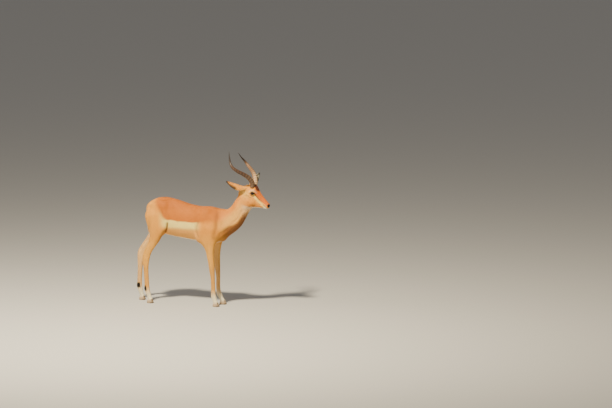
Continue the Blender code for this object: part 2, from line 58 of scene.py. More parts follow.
# By height, how far each left leg stands behind the right one.
HIND_STEP = (
    (0.820, 0.000),
    (0.730, -0.017),
    (0.630, -0.059),
    (0.530, -0.101),
    (0.440, -0.117),
    (0.360, -0.120),
    (0.260, -0.130),
    (0.175, -0.140),
    (0.100, -0.145),
    (0.040, -0.147),
)
FORE_STEP = (
    (0.620, 0.000),
    (0.500, -0.004),
    (0.400, -0.012),
    (0.250, -0.015),
    (0.120, -0.018),
    (0.070, -0.010),
    (0.030, 0.000),
)
STIFLE_X = -0.332  # the muscle over the stifle; the left one is stepped back with its leg
STIFLE_STEP = -0.059

# Lines that are both folded into the surface and marked on the coat.
LIP_LINE = ((0.243, 0.008), (0.225, 0.0085), (0.208, 0.0125), (0.188, 0.0180))
FLANK_FOLD = ((-0.262, 0.712), (-0.266, 0.675), (-0.285, 0.640))

# The nostril: along the face, sideways, and above the head's axis.
NOSTRIL = (0.2300, 0.0125, 0.0345)
NOSTRIL_RADII = (0.0035, 0.0060, 0.0082)
NOSTRIL_TURN = math.radians(38.0)

# Roots are drawn too many times over, then thinned to one for each cell of a grid.
OVERDRAW = 3.0
THINNING_CELL = 0.86  # its side, as a share of the mean distance between the wanted roots
CELL_PRIMES = (73856093, 19349663, 83492791)  # they turn a cell's three numbers into one


class Side(Enum):
    """The two sides of the animal, with the sign of their Y."""

    LEFT = 1
    RIGHT = -1


class Zone(Enum):
    """The regions of the coat, each with its own lie of the hair."""

    TRUNK = 0
    NECK = 1
    HEAD = 2
    FORE = 3
    HIND = 4


# ------------------------------------------------------------------ numbers and small geometry


def unit(vectors: Array) -> Array:
    """Scales each row vector to length one."""
    return vectors / np.maximum(np.linalg.norm(vectors, axis=-1, keepdims=True), 1e-9)


def ramp(value: Array, low: float, high: float) -> Array:
    """A smooth step from 0 at low to 1 at high, or the other way round if low is above high."""
    t = np.clip((value - low) / (high - low), 0.0, 1.0)
    return t * t * (3.0 - 2.0 * t)


def bump(value: Array, centre: float, width: float) -> Array:
    """A bell of height one: exp(-((value - centre) / width) squared)."""
    return np.exp(-(((value - centre) / width) ** 2))


def smooth_column(at: Array, stations: tuple, column: int) -> Array:
    """Reads one column of a table of stations as a smooth curve.

    The curve is cubic Hermite, with the slope at each station taken from its neighbours.

    Args:
        at: places to read.
        stations: rows whose first entry is the place.
        column: which entry of the rows to read.

    Returns:
        The value at each place, held constant past the ends.
    """
    table = np.array(sorted(stations), float)
    place, value = table[:, 0], table[:, column]
    slope = np.gradient(value, place)
    at = np.clip(at, place[0], place[-1])
    span = np.clip(np.searchsorted(place, at) - 1, 0, len(place) - 2)
    width = place[span + 1] - place[span]
    t = (at - place[span]) / width
    return (
        (2 * t**3 - 3 * t**2 + 1) * value[span]
        + (t**3 - 2 * t**2 + t) * width * slope[span]
        + (3 * t**2 - 2 * t**3) * value[span + 1]
        + (t**3 - t**2) * width * slope[span + 1]
    )


def smooth_columns(at: Array, stations: tuple, *columns: int) -> list[Array]:
    """Reads several columns of a table of stations as smooth curves."""
    return [smooth_column(at, stations, column) for column in columns]


def route(points: tuple, count: int) -> Array:
    """Points at even steps of a smooth curve through the given ones."""
    stations = tuple((i, *p) for i, p in enumerate(points))
    at = np.linspace(0, len(points) - 1, count)
    return np.stack(smooth_columns(at, stations, *range(1, len(points[0]) + 1)), axis=1)


def full_turn(sides: int) -> Array:
    """Angles at even steps once round, in radians."""
    return np.linspace(0, 2 * np.pi, sides, endpoint=False)


def ellipse_distance(offsets: tuple, radii: tuple) -> Array:
    """About the distance to an ellipsoid: k(k - 1) / m, with k = |p / r| and m = |p / r squared|."""
    near = np.sqrt(sum((o / r) ** 2 for o, r in zip(offsets, radii))) + 1e-9
    steep = np.sqrt(sum((o / r**2) ** 2 for o, r in zip(offsets, radii))) + 1e-9
    return near * (near - 1.0) / steep


def blend(a: Array, b: Array, width: float) -> Array:
    """The union of two distances, with a fillet of about this width where they meet."""
    near = np.maximum(width - np.abs(a - b), 0.0) / width
    return np.minimum(a, b) - near * near * width / 4.0


def carve(a: Array, b: Array, width: float) -> Array:
    """Takes form b out of form a, with a fillet of about this width."""
    return -blend(-a, b, width)


def turned(a: Array, b: Array, angle: float) -> tuple[Array, Array]:
    """The two coordinates of a plane after a turn by an angle in radians, from a towards b."""
    c, s = math.cos(angle), math.sin(angle)
    return a * c - b * s, a * s + b * c


def path_distance(x: Array, z: Array, path: tuple) -> Array:
    """The distance in a plane from points (x, z) to a line of straight segments."""
    best = np.full(x.shape, 1e9)
    for (ax, az), (bx, bz) in zip(path[:-1], path[1:]):
        dx, dz = bx - ax, bz - az
        t = np.clip(((x - ax) * dx + (z - az) * dz) / (dx * dx + dz * dz), 0.0, 1.0)
        best = np.minimum(best, np.hypot(x - ax - t * dx, z - az - t * dz))
    return best


# ------------------------------------------------------------------ the animal's form


@dataclass(frozen=True)
class Relief:
    """A soft ridge or furrow along a path in the side view: height times a bell of the distance."""

    path: tuple
    height: float
    width: float

    def at(self, x: Array, z: Array) -> Array:
        """Its height above the plain surface at points of the side view."""
        return self.height * np.exp(-((path_distance(x, z, self.path) / self.width) ** 2))


@dataclass
class BodyForm:
    """The whole body as a distance that is negative inside, and its landmarks."""

    # trunk, neck, head: along, lower edge, upper edge, half width, share of the height that is widest
    trunk: tuple = (
        (-0.474, 0.735, 0.838, 0.042, 0.50),
        (-0.451, 0.690, 0.880, 0.072, 0.50),
        (-0.412, 0.638, 0.907, 0.093, 0.50),
        (-0.330, 0.606, 0.927, 0.104, 0.48),
        (-0.220, 0.584, 0.912, 0.108, 0.45),
        (-0.080, 0.566, 0.875, 0.117, 0.46),
        (0.030, 0.553, 0.861, 0.111, 0.48),
        (0.110, 0.548, 0.863, 0.096, 0.46),
        (0.170, 0.558, 0.852, 0.080, 0.44),
        (0.208, 0.580, 0.835, 0.064, 0.44),
    )
    neck: tuple = (
        (-0.170, -0.050, 0.150, 0.070, 0.45),
        (-0.110, -0.071, 0.149, 0.072, 0.45),
        (-0.030, -0.095, 0.130, 0.066, 0.45),
        (0.025, -0.102, 0.101, 0.059, 0.45),
        (0.068, -0.0985, 0.076, 0.054, 0.45),
        (0.100, -0.095, 0.070, 0.051, 0.46),
        (0.135, -0.090, 0.070, 0.049, 0.48),
        (0.185, -0.084, 0.072, 0.046, 0.50),
        (0.235, -0.066, 0.073, 0.042, 0.50),
    )
    head: tuple = (
        (-0.050, -0.040, 0.048, 0.0400, 0.55),
        (-0.015, -0.078, 0.088, 0.0460, 0.58),
        (0.020, -0.095, 0.108, 0.0470, 0.62),
        (0.044, -0.097, 0.1155, 0.0465, 0.63),
        (0.067, -0.093, 0.1045, 0.0450, 0.64),
        (0.095, -0.079, 0.0870, 0.0395, 0.62),
        (0.125, -0.060, 0.0745, 0.0340, 0.58),
        (0.160, -0.037, 0.0640, 0.0285, 0.55),
        (0.195, -0.018, 0.0550, 0.0255, 0.50),
        (0.221, -0.004, 0.0475, 0.0235, 0.50),
    )
    # legs: Z, X of the front, X of the rear, half width, |Y| of the middle
    foreleg: tuple = (
        (0.655, 0.178, -0.010, 0.0400, 0.070),
        (0.600, 0.182, 0.008, 0.0380, 0.076),
        (0.550, 0.178, 0.050, 0.0350, 0.080),
        (0.490, 0.167, 0.088, 0.0300, 0.081),
        (0.430, 0.166, 0.103, 0.0265, 0.080),
        (0.385, 0.169, 0.113, 0.0245, 0.079),
        (0.345, 0.171, 0.119, 0.0240, 0.078),
        (0.305, 0.172, 0.125, 0.0210, 0.078),
        (0.260, 0.173, 0.134, 0.0175, 0.078),
        (0.180, 0.176, 0.139, 0.0155, 0.079),
        (0.115, 0.181, 0.140, 0.0160, 0.080),
        (0.085, 0.188, 0.141, 0.0180, 0.080),
        (0.060, 0.194, 0.150, 0.0165, 0.080),
        (0.038, 0.202, 0.158, 0.0180, 0.080),
    )
    hindleg: tuple = (
        (0.760, -0.300, -0.480, 0.0520, 0.062),
        (0.700, -0.290, -0.464, 0.0520, 0.070),
        (0.650, -0.300, -0.450, 0.0460, 0.076),
        (0.600, -0.322, -0.441, 0.0380, 0.079),
        (0.550, -0.347, -0.447, 0.0310, 0.080),
        (0.500, -0.385, -0.469, 0.0255, 0.080),
        (0.460, -0.414, -0.491, 0.0225, 0.080),
        (0.425, -0.432, -0.503, 0.0220, 0.080),
        (0.395, -0.441, -0.507, 0.0220, 0.080),
        (0.355, -0.449, -0.505, 0.0200, 0.080),
        (0.310, -0.453, -0.499, 0.0175, 0.080),
        (0.220, -0.450, -0.492, 0.0160, 0.081),
        (0.160, -0.446, -0.488, 0.0160, 0.082),
        (0.115, -0.440, -0.483, 0.0170, 0.082),
        (0.088, -0.433, -0.479, 0.0185, 0.082),
        (0.062, -0.427, -0.466, 0.0165, 0.082),
        (0.038, -0.416, -0.459, 0.0185, 0.082),
    )
    # muscles, face, chin: (X, |Y|, Z), radii, pitch in degrees, width of the fillet
    muscles: tuple = (
        ((0.085, 0.062, 0.715), (0.085, 0.042, 0.135), 14.0, 0.050),
        ((0.118, 0.066, 0.615), (0.060, 0.036, 0.075), -20.0, 0.050),
        ((0.028, 0.076, 0.585), (0.026, 0.020, 0.030), 0.0, 0.030),
        ((-0.388, 0.052, 0.775), (0.092, 0.052, 0.125), -12.0, 0.050),
        ((-0.330, 0.070, 0.860), (0.055, 0.024, 0.036), 0.0, 0.050),
        ((STIFLE_X, 0.076, 0.655), (0.028, 0.026, 0.048), 20.0, 0.035),
    )
    face: tuple = (
        ((0.511, 0.032, 1.006), (0.032, 0.0185, 0.027), 20.0, 0.014),
        ((0.492, 0.024, 0.925), (0.042, 0.020, 0.036), 25.0, 0.022),
        ((0.438, 0.034, 1.040), (0.024, 0.020, 0.024), 0.0, 0.018),
        ((0.505, 0.025, 1.066), (0.025, 0.021, 0.021), 40.0, 0.014),
        ((0.641, 0.0125, 0.899), (0.013, 0.0100, 0.0125), 35.0, 0.008),
    )
    chin: tuple = ((0.620, 0.0, 0.880), (0.020, 0.014, 0.011), 12.0, 0.010)
    # how softly each region runs into the ones before it
    fillets: tuple = ((Zone.FORE, 0.040), (Zone.HIND, 0.035), (Zone.NECK, 0.070), (Zone.HEAD, 0.035))
    neck_origin: tuple = (0.300, 0.0, 0.755)
    neck_direction: tuple = (0.588, 0.0, 0.809)
    head_origin: tuple = (0.440, 0.0, 0.990)
    head_direction: tuple = (0.841, 0.0, -0.541)
    eye_centre: tuple = (0.5155, 0.0385, 1.000)
    eye_radius: float = 0.0190
    lid_tilt: float = -30.0  # of the slit between the lids, in degrees off the face's own line
    lid_reach: float = 0.0172
    lid_heights: tuple = (0.0118, 0.0092)
    body_relief: tuple = (
        Relief(((0.118, 0.835), (0.100, 0.770), (0.112, 0.690)), 0.0035, 0.016),
        Relief(((0.048, 0.820), (0.022, 0.745), (0.014, 0.670), (0.030, 0.615)), -0.0055, 0.017),
        Relief(((0.050, 0.700), (0.055, 0.635)), 0.0040, 0.026),
        Relief(((0.188, 0.835), (0.194, 0.760), (0.190, 0.690), (0.174, 0.630)), -0.0050, 0.020),
        Relief(FLANK_FOLD, -0.0065, 0.009),
        Relief(((0.085, 0.610), (0.103, 0.560), (0.118, 0.500), (0.135, 0.430)), -0.0022, 0.008),
        Relief(((-0.232, 0.820), (-0.252, 0.775), (-0.262, 0.710)), -0.0045, 0.030),
        Relief(((-0.262, 0.893), (-0.285, 0.868)), 0.0020, 0.024),
        Relief(((-0.295, 0.800), (-0.282, 0.725), (-0.296, 0.655)), 0.0035, 0.018),
        Relief(((-0.425, 0.845), (-0.440, 0.760), (-0.432, 0.670), (-0.425, 0.600)), -0.0042, 0.013),
        Relief(((-0.350, 0.800), (-0.362, 0.720), (-0.385, 0.640)), -0.0030, 0.015),
        Relief(((-0.424, 0.545), (-0.452, 0.490), (-0.474, 0.445)), -0.0046, 0.0075),
        Relief(((0.440, 0.872), (0.365, 0.760), (0.285, 0.685), (0.225, 0.640)), -0.0045, 0.014),
        Relief(((0.405, 0.935), (0.345, 0.830), (0.265, 0.768), (0.195, 0.745)), 0.0030, 0.026),
        Relief(((0.150, 0.330), (0.153, 0.210), (0.154, 0.120)), -0.0016, 0.0040),
        Relief(((-0.474, 0.365), (-0.470, 0.240), (-0.464, 0.130)), -0.0016, 0.0040),
        Relief(((-0.476, 0.402), (-0.470, 0.388)), 0.0022, 0.010),
        Relief(((0.144, 0.362), (0.146, 0.338)), 0.0018, 0.010),
    )
    ribs: int = 7
    face_relief: tuple = (
        Relief(((0.020, 0.010), (0.070, 0.016), (0.112, 0.024)), 0.0022, 0.007),
        Relief(((0.072, 0.040), (0.092, 0.042), (0.118, 0.046)), -0.0016, 0.0050),
        Relief(((0.108, -0.048), (0.085, -0.028), (0.070, 0.000)), -0.0030, 0.011),
        Relief(LIP_LINE, -0.0042, 0.0021),
        Relief(((0.236, 0.0170), (0.214, 0.0185), (0.196, 0.0240)), 0.0010, 0.0050),
        Relief(((0.105, 0.068), (0.150, 0.056), (0.195, 0.046)), -0.0014, 0.0070),
        Relief(((0.218, 0.044), (0.210, 0.034), (0.216, 0.024)), -0.0011, 0.0030),
    )

    def legs_straight(self, p: Array) -> Array:
        """X with the left legs moved back under the body, so that both sides read the same paths."""
        left = ramp(p[:, 1], -0.01, 0.01)
        hind = smooth_column(p[:, 2], HIND_STEP, 1) * ramp(p[:, 0], -0.18, -0.24)
        fore = smooth_column(p[:, 2], FORE_STEP, 1) * ramp(p[:, 0], 0.00, 0.04)
        return p[:, 0] - left * (hind + fore)

    def head_frame(self, p: Array) -> tuple[Array, Array]:
        """Distance from the poll along the face, and height above that axis towards the brow."""
        return self.axis_frame(p, self.head_origin, self.head_direction)

    def neck_frame(self, p: Array) -> tuple[Array, Array]:
        """Distance up the neck, and height above its axis towards the nape."""
        return self.axis_frame(p, self.neck_origin, self.neck_direction)

    @staticmethod
    def axis_frame(p: Array, origin: tuple, direction: tuple) -> tuple[Array, Array]:
        """Coordinates along a direction in the plane Y = 0 and across it."""
        length = math.hypot(direction[0], direction[2])
        dx, dz = direction[0] / length, direction[2] / length
        x, z = p[:, 0] - origin[0], p[:, 2] - origin[2]
        return x * dx + z * dz, z * dx - x * dz

    def loft(self, p: Array, stations: tuple, caps: tuple, along: Array, across: Array) -> Array:
        """A body lofted along a straight axis, closing in round caps past its ends."""
        low, high, half, widest = smooth_columns(along, stations, 1, 2, 3, 4)
        middle = low + widest * (high - low)
        over = across - middle
        reach = np.where(over > 0, high - middle, middle - low)
        first, last = stations[0][0], stations[-1][0]
        beyond = np.maximum(along - last, 0) / caps[1] + np.maximum(first - along, 0) / caps[0]
        return ellipse_distance((over, p[:, 1], beyond * half), (reach, half, half))

    def leg(self, p: Array, stations: tuple, side: Side, step: tuple) -> Array:
        """A leg lofted by height: an ellipse between its front and rear edge at each height."""
        x, y, z = p.T
        front, rear, half, out = smooth_columns(z, stations, 1, 2, 3, 4)
        if side is Side.LEFT:
            x = x - smooth_column(z, step, 1)
        beyond = np.maximum(z - stations[0][0], 0) / 0.050 + np.maximum(stations[-1][0] - z, 0) / 0.010
        reach = (front - rear) / 2
        across = y - side.value * out
        return ellipse_distance((x - (front + rear) / 2, across, beyond * half), (reach, half, half))

    @staticmethod
    def lump(p: Array, centre: tuple, radii: tuple, pitch: float) -> Array:
        """An ellipsoid turned about Y by the pitch, in degrees."""
        x, y, z = (p - np.array(centre)).T
        u, w = turned(x, z, -math.radians(pitch))
        return ellipse_distance((u, y, w), radii)

    def parts(self, p: Array) -> dict[Zone, Array]:
        """The distance to each region by itself."""
        along, across = self.head_frame(p)
        head = self.loft(p, self.head, (0.020, 0.017), along, across)
        folded = np.stack([p[:, 0], np.abs(p[:, 1]), p[:, 2]], axis=1)
        for centre, radii, pitch, width in self.face:
            head = blend(head, self.lump(folded, centre, radii, pitch), width)
        head = blend(head, self.lump(p, *self.chin[:3]), self.chin[3])
        neck = self.loft(p, self.neck, (0.050, 0.025), *self.neck_frame(p))
        trunk = self.loft(p, self.trunk, (0.014, 0.040), p[:, 0], p[:, 2])
        fore = [self.leg(p, self.foreleg, side, FORE_STEP) for side in Side]
        hind = [self.leg(p, self.hindleg, side, HIND_STEP) for side in Side]
        return {
            Zone.TRUNK: trunk,
            Zone.NECK: neck,
            Zone.HEAD: head,
            Zone.FORE: np.minimum(*fore),
            Zone.HIND: np.minimum(*hind),
        }

    def coat_surface(self, p: Array) -> Array:
        """The distance to the tips of the coat: all forms blended in the order of the solids."""
        parts = self.parts(p)
        found = parts[Zone.TRUNK]
        for centre, radii, pitch, width in self.muscles:
            for side in Side:
                step = STIFLE_STEP if centre[0] == STIFLE_X and side is Side.LEFT else 0.0
                place = (centre[0] + step, side.value * centre[1], centre[2])
                found = blend(found, self.lump(p, place, radii, pitch), width)
        for zone, width in self.fillets:
            found = blend(found, parts[zone], width)
        return found

    def zones(self, p: Array, softness: float = 0.016) -> Array:
        """How much each region owns each point: weights that sum to one, in the order of Zone."""
        parts = self.parts(p)
        gap = np.stack([parts[zone] for zone in Zone], axis=1)
        weight = np.exp(-(gap - gap.min(axis=1, keepdims=True)) / softness)
        return weight / weight.sum(axis=1, keepdims=True)

    def coat_depth(self, p: Array) -> Array:
        """How deep the coat is: 3 mm on the trunk, less down the legs and along the face."""
        along, _ = self.head_frame(p)
        depth = 0.0028 - 0.0008 * ramp(p[:, 2], 0.62, 0.42)
        on_head = ramp(p[:, 0], 0.40, 0.46) * ramp(p[:, 2], 0.84, 0.88)
        face = 0.0024 - 0.0012 * ramp(along, 0.05, 0.15)
        return depth * (1 - on_head) + face * on_head

    def eye_frame(self, p: Array) -> tuple[Array, Array, Array]:
        """Along the lids towards the nose, across them towards the brow, and outwards from the eye."""
        along, across = self.head_frame(p)
        centre = np.array([self.eye_centre])
        s0, n0 = self.head_frame(centre)
        out = np.abs(p[:, 1]) - self.eye_centre[1]
        return *turned(along - s0, across - n0, math.radians(self.lid_tilt)), out

    def eye_opening(self, p: Array) -> Array:
        """The lens between the lids: its edge distance, positive inside, in metres."""
        a, b, _ = self.eye_frame(p)
        height = np.where(b > 0, *self.lid_heights)
        edge = height * (1 - (a / self.lid_reach) ** 2) - np.abs(b)
        return edge / np.sqrt(1 + (2 * height * a / self.lid_reach**2) ** 2)

    def skin(self, p: Array) -> Array:
        """The distance to the skin: the coat's surface sunk by its depth, with all the fine forms."""
        found = self.coat_surface(p) + self.coat_depth(p)
        on_head = ramp(p[:, 0], 0.41, 0.45) * ramp(p[:, 2], 0.85, 0.87)
        x, z = self.legs_straight(p), p[:, 2]
        body = sum(relief.at(x, z) for relief in self.body_relief)
        for rib in range(self.ribs):
            lean = -0.010 - 0.028 * rib
            path = ((lean + 0.012, 0.800), (lean - 0.010, 0.715), (lean + 0.010, 0.630))
            body = body + Relief(path, 0.0011, 0.0075).at(x, z)
        side_on = ramp(np.abs(p[:, 1]), 0.012, 0.035)
        slim = ramp(z, 0.42, 0.36)
        found = found - body * (side_on * (1 - slim) + slim) * (1 - on_head)
        return self.face_forms(p, found, on_head)

    def face_forms(self, p: Array, found: Array, on_head: Array) -> Array:
        """Adds the lids, nostrils, lips and folds of the face to a distance."""
        near = on_head > 0
        q = p[near]
        if not len(q):
            return found
        along, across = self.head_frame(q)
        side = np.abs(q[:, 1])
        face = found[near] - on_head[near] * sum(r.at(along, across) for r in self.face_relief)
        a, b, out = self.eye_frame(q)
        ball = np.sqrt(a * a + b * b + out * out) - self.eye_radius
        lids = np.where(out > 0, ball - 0.0020, 1.0)
        face = blend(face, lids, 0.006)
        crease = np.abs(np.hypot(a, b * 1.25) - 0.0192)
        face = face + 0.0011 * np.exp(-((crease / 0.0016) ** 2)) * (b > 0.002) * (out > 0)
        rim = self.eye_opening(q)
        face = face - 0.0009 * bump(rim, -0.0014, 0.0014) * ramp(out, 0.002, 0.004)
        socket = np.maximum(np.maximum(-rim, 0.003 - out), -ball - 0.0045)
        face = carve(face, socket, 0.0012)
        u, w = turned(along - NOSTRIL[0], across - NOSTRIL[2], -NOSTRIL_TURN)
        hole = ellipse_distance((u, side - NOSTRIL[1], w), NOSTRIL_RADII)
        face = carve(face, hole, 0.0025)
        split = 0.0012 * bump(side, 0.0, 0.0014) * ramp(along, 0.222, 0.230) * ramp(across, 0.034, 0.028)
        result = found.copy()
        result[near] = face + split
        return result


# ------------------------------------------------------------------ surface and mesh making


def mesh_object(name: str, points: Array, faces: list[Array], smooth: bool = True) -> bpy.types.Object:
    """Makes an object from points and faces of several sizes.

    Args:
        name: the object's name.
        points: rows of X, Y, Z in the body's own frame; the shift to the frame is added here.
        faces: arrays of vertex numbers, each array with one face size.
        smooth: whether the faces are shaded smooth.

    Returns:
        The object, linked to the scene, at the origin.
    """
    mesh = bpy.data.meshes.new(name)
    sizes = np.concatenate([np.full(len(f), f.shape[1]) for f in faces])
    loops = np.concatenate([f.reshape(-1) for f in faces]).astype(np.int32)
    mesh.vertices.add(len(points))
    mesh.vertices.foreach_set("co", (points + np.array((SHIFT, 0.0, 0.0))).astype(np.float32).reshape(-1))
    mesh.loops.add(len(loops))
    mesh.loops.foreach_set("vertex_index", loops)
    mesh.polygons.add(len(sizes))
    starts = np.concatenate([[0], np.cumsum(sizes)[:-1]]).astype(np.int32)
    mesh.polygons.foreach_set("loop_start", starts)
    mesh.polygons.foreach_set("use_smooth", np.full(len(sizes), smooth))
    mesh.update(calc_edges=True)
    mesh.validate()
    made = bpy.data.objects.new(name, mesh)
    bpy.context.scene.collection.objects.link(made)
    return made


def set_colours(made: bpy.types.Object, colours: Array) -> None:
    """Stores one linear colour for each vertex, under the name that every finish reads."""
    attribute = made.data.color_attributes.new("marking", "FLOAT_COLOR", "POINT")
    rgba = np.concatenate([colours, np.ones((len(colours), 1))], axis=1).astype(np.float32)
    attribute.data.foreach_set("color", rgba.reshape(-1))


def set_grain(made: bpy.types.Object, grain: Array) -> None:
    """Stores the coordinates that the hair or horn grain is drawn from."""
    attribute = made.data.attributes.new("grain", "FLOAT_VECTOR", "POINT")
    attribute.data.foreach_set("vector", grain.astype(np.float32).reshape(-1))


def graded_axis(stops: tuple) -> Array:
    """Grid places from one stop to the next, each stretch with its own step.

    Args:
        stops: rows (start, step), the last row's step unused.

    Returns:
        Rising places that begin at the first start and end at the last.
    """
    pieces = []
    for (start, step), (end, _) in zip(stops[:-1], stops[1:]):
        count = max(1, round((end - start) / step))
        pieces.append(np.linspace(start, end, count, endpoint=False))
    return np.append(np.concatenate(pieces), stops[-1][0])


def values_near_surface(form: Callable[[Array], Array], axes: list[Array], stride: int = 4) -> Array:
    """A distance on a grid, worked out in full only in blocks that the surface may cross.

    Args:
        form: the distance.
        axes: the grid's places along X, Y and Z.
        stride: how many grid steps a block has.

    Returns:
        The values, with the block's own coarse value where the surface is far away.
    """
    shape = [len(a) for a in axes]
    coarse = [np.unique(np.minimum(np.arange(0, n + stride, stride) + stride // 2, n - 1)) for n in shape]
    rough_axes = [a[c] for a, c in zip(axes, coarse)]
    rough = np.stack(np.meshgrid(*rough_axes, indexing="ij"), axis=-1)
    rough_value = form(rough.reshape(-1, 3)).reshape(rough.shape[:3])
    index = [np.minimum(np.arange(n) // stride, len(c) - 1) for n, c in zip(shape, coarse)]
    value = rough_value[np.ix_(*index)]
    reach = stride * max(np.diff(a).max() for a in axes) * 1.3
    near = np.argwhere(np.abs(value) < reach)
    points = np.stack([a[near[:, k]] for k, a in enumerate(axes)], axis=1)
    value[tuple(near.T)] = form(points)
    return value


def without_touching(value: Array) -> Array:
    """Fills grid places until no face of a cell has its two insides only across a diagonal.

    Such faces would give edges with four faces; each filled place moves the surface by less than
    one cell, and settling draws it back.
    """
    for _ in range(30):
        inside = value < 0
        fill = np.zeros(inside.shape, bool)
        for i, j in ((0, 1), (0, 2), (1, 2)):

            def corner(a: int, b: int) -> tuple:
                """The grid places at one corner of every cell face in this plane."""
                cut = {i: slice(a, a - 1 or None), j: slice(b, b - 1 or None)}
                return tuple(cut.get(k, slice(None)) for k in range(3))

            s00, s10, s01, s11 = (inside[corner(a, b)] for a, b in ((0, 0), (1, 0), (0, 1), (1, 1)))
            crossed = (s00 == s11) & (s10 == s01) & (s00 != s10)
            for a, b in ((0, 0), (1, 0), (0, 1), (1, 1)):
                fill[corner(a, b)] |= crossed
        fill &= ~inside
        if not fill.any():
            break
        value[fill] = -1e-6
    return value


def surface_of(form: Callable[[Array], Array], axes: list[Array]) -> tuple[Array, Array]:
    """Points and quads of the surface where a distance is zero.

    Each grid cell that the surface crosses gets one point, at the mean of its crossings, and each
    crossed grid edge gets the face between the four cells around it.

    Args:
        form: the distance, negative inside.
        axes: the grid's places along X, Y and Z.

    Returns:
        The points and the quads, whose normals point outwards.
    """
    value = without_touching(values_near_surface(form, axes))
    inside = value < 0
    shape = np.array(value.shape) - 1
    total = np.zeros(shape, np.float32)
    place = np.zeros((*shape, 3), np.float32)
    grid = [a.reshape([-1 if k == i else 1 for k in range(3)]) for i, a in enumerate(axes)]
    for axis in range(3):
        a = tuple(slice(None, -1) if k == axis else slice(None) for k in range(3))
        b = tuple(slice(1, None) if k == axis else slice(None) for k in range(3))
        crossed = inside[a] != inside[b]
        share = np.where(crossed, value[a] / np.where(crossed, value[a] - value[b], 1), 0)
        others = [k for k in range(3) if k != axis]
        where = []
        for k in range(3):
            low = np.broadcast_to(grid[k], value.shape)[a]
            high = np.broadcast_to(grid[k], value.shape)[b]
            where.append(low + share * (high - low))
        for shift in ((0, 0), (0, 1), (1, 0), (1, 1)):
            part = [slice(None)] * 3
            for k, step in zip(others, shift):
                part[k] = slice(step, crossed.shape[k] - 1 + step)
            part = tuple(part)
            total += crossed[part]
            for k in range(3):
                place[..., k] += where[k][part] * crossed[part]
    used = total > 0
    number = np.full(total.shape, -1)
    number[used] = np.arange(used.sum())
    points = (place[used] / total[used][:, None]).astype(float)
    faces = []
    for axis in range(3):
        a = tuple(slice(None, -1) if k == axis else slice(1, -1) for k in range(3))
        b = tuple(slice(1, None) if k == axis else slice(1, -1) for k in range(3))
        j, k = (axis + 1) % 3, (axis + 2) % 3
        edge = np.argwhere(inside[a] != inside[b])
        rising = inside[a][tuple(edge.T)]
        ring = []
        for dj, dk in ((0, 0), (1, 0), (1, 1), (0, 1)):
            cell = edge.copy()
            cell[:, j] += dj
            cell[:, k] += dk
            ring.append(number[tuple(cell.T)])
        ring = np.stack(ring, axis=1)
        ring[~rising] = ring[~rising][:, ::-1]
        faces.append(ring)
    return points, np.concatenate(faces)


def slope_of(form: Callable[[Array], Array], points: Array, step: float = 0.0004) -> Array:
    """The gradient of a distance, by central differences."""
    return np.stack(
        [(form(points + step * e) - form(points - step * e)) / (2 * step) for e in np.eye(3)], axis=1
    )


def settle(form: Callable[[Array], Array], points: Array, rounds: int, most: float) -> Array:
    """Moves points along the slope of a distance until they lie where it is zero."""
    for _ in range(rounds):
        slope = slope_of(form, points)
        size = np.maximum((slope**2).sum(axis=1), 0.08)
        points = points - np.clip(form(points) / size, -most, most)[:, None] * slope
    return points


# ------------------------------------------------------------------ parts added to the skin


def wall_quads(count: int, sides: int) -> Array:
    """The quads between each closed ring of points and the next."""
    a = (np.arange(count - 1)[:, None] * sides + np.arange(sides)).reshape(-1)
    b = (np.arange(count - 1)[:, None] * sides + (np.arange(sides) + 1) % sides).reshape(-1)
    return np.stack([a, b, b + sides, a + sides], axis=1)


def tube(rings: Array) -> tuple[Array, Array, list[Array]]:
    """Joins rings of points into a closed tube with a fan over each end.

    Args:
        rings: an array of rings by points by three.

    Returns:
        The points, the quads along the tube and the triangles of its two ends.
    """
    count, sides = rings.shape[:2]
    points = np.concatenate([rings.reshape(-1, 3), rings[:1].mean(axis=1), rings[-1:].mean(axis=1)])
    quads = wall_quads(count, sides)
    i, j = np.arange(sides), (np.arange(sides) + 1) % sides
    last = (count - 1) * sides
    first_fan = np.stack([j, i, np.full(sides, count * sides)], axis=1)
    last_fan = np.stack([last + i, last + j, np.full(sides, count * sides + 1)], axis=1)
    quads, first_fan, last_fan = outward(points, quads, first_fan, last_fan)
    return points, quads, [first_fan, last_fan]


def outward(points: Array, *groups: Array) -> tuple:
    """Turns all faces round together if the volume they enclose comes out negative."""
    volume = 0.0
    for faces in groups:
        corner = points[faces]
        for k in range(1, faces.shape[1] - 1):
            volume += np.einsum("ij,ij->", corner[:, 0], np.cross(corner[:, k], corner[:, k + 1]))
    return tuple(f[:, ::-1] for f in groups) if volume < 0 else groups


def cup(rings: Array) -> tuple[Array, Array, list[Array]]:
    """Joins thin C-shaped rings, an outer arc and an inner one run back, into a closed cup.

    Args:
        rings: an array of rings by points by three.

    Returns:
        The points, the quads along the cup and the quads across its two ends.
    """
    count, sides = rings.shape[:2]
    points = rings.reshape(-1, 3)
    j = np.arange(sides // 2 - 1)
    first = np.stack([j, sides - 1 - j, sides - 2 - j, j + 1], axis=1)
    last = first[:, ::-1] + (count - 1) * sides
    quads = wall_quads(count, sides)
    quads, first, last = outward(points, quads, first, last)
    return points, quads, [first, last]


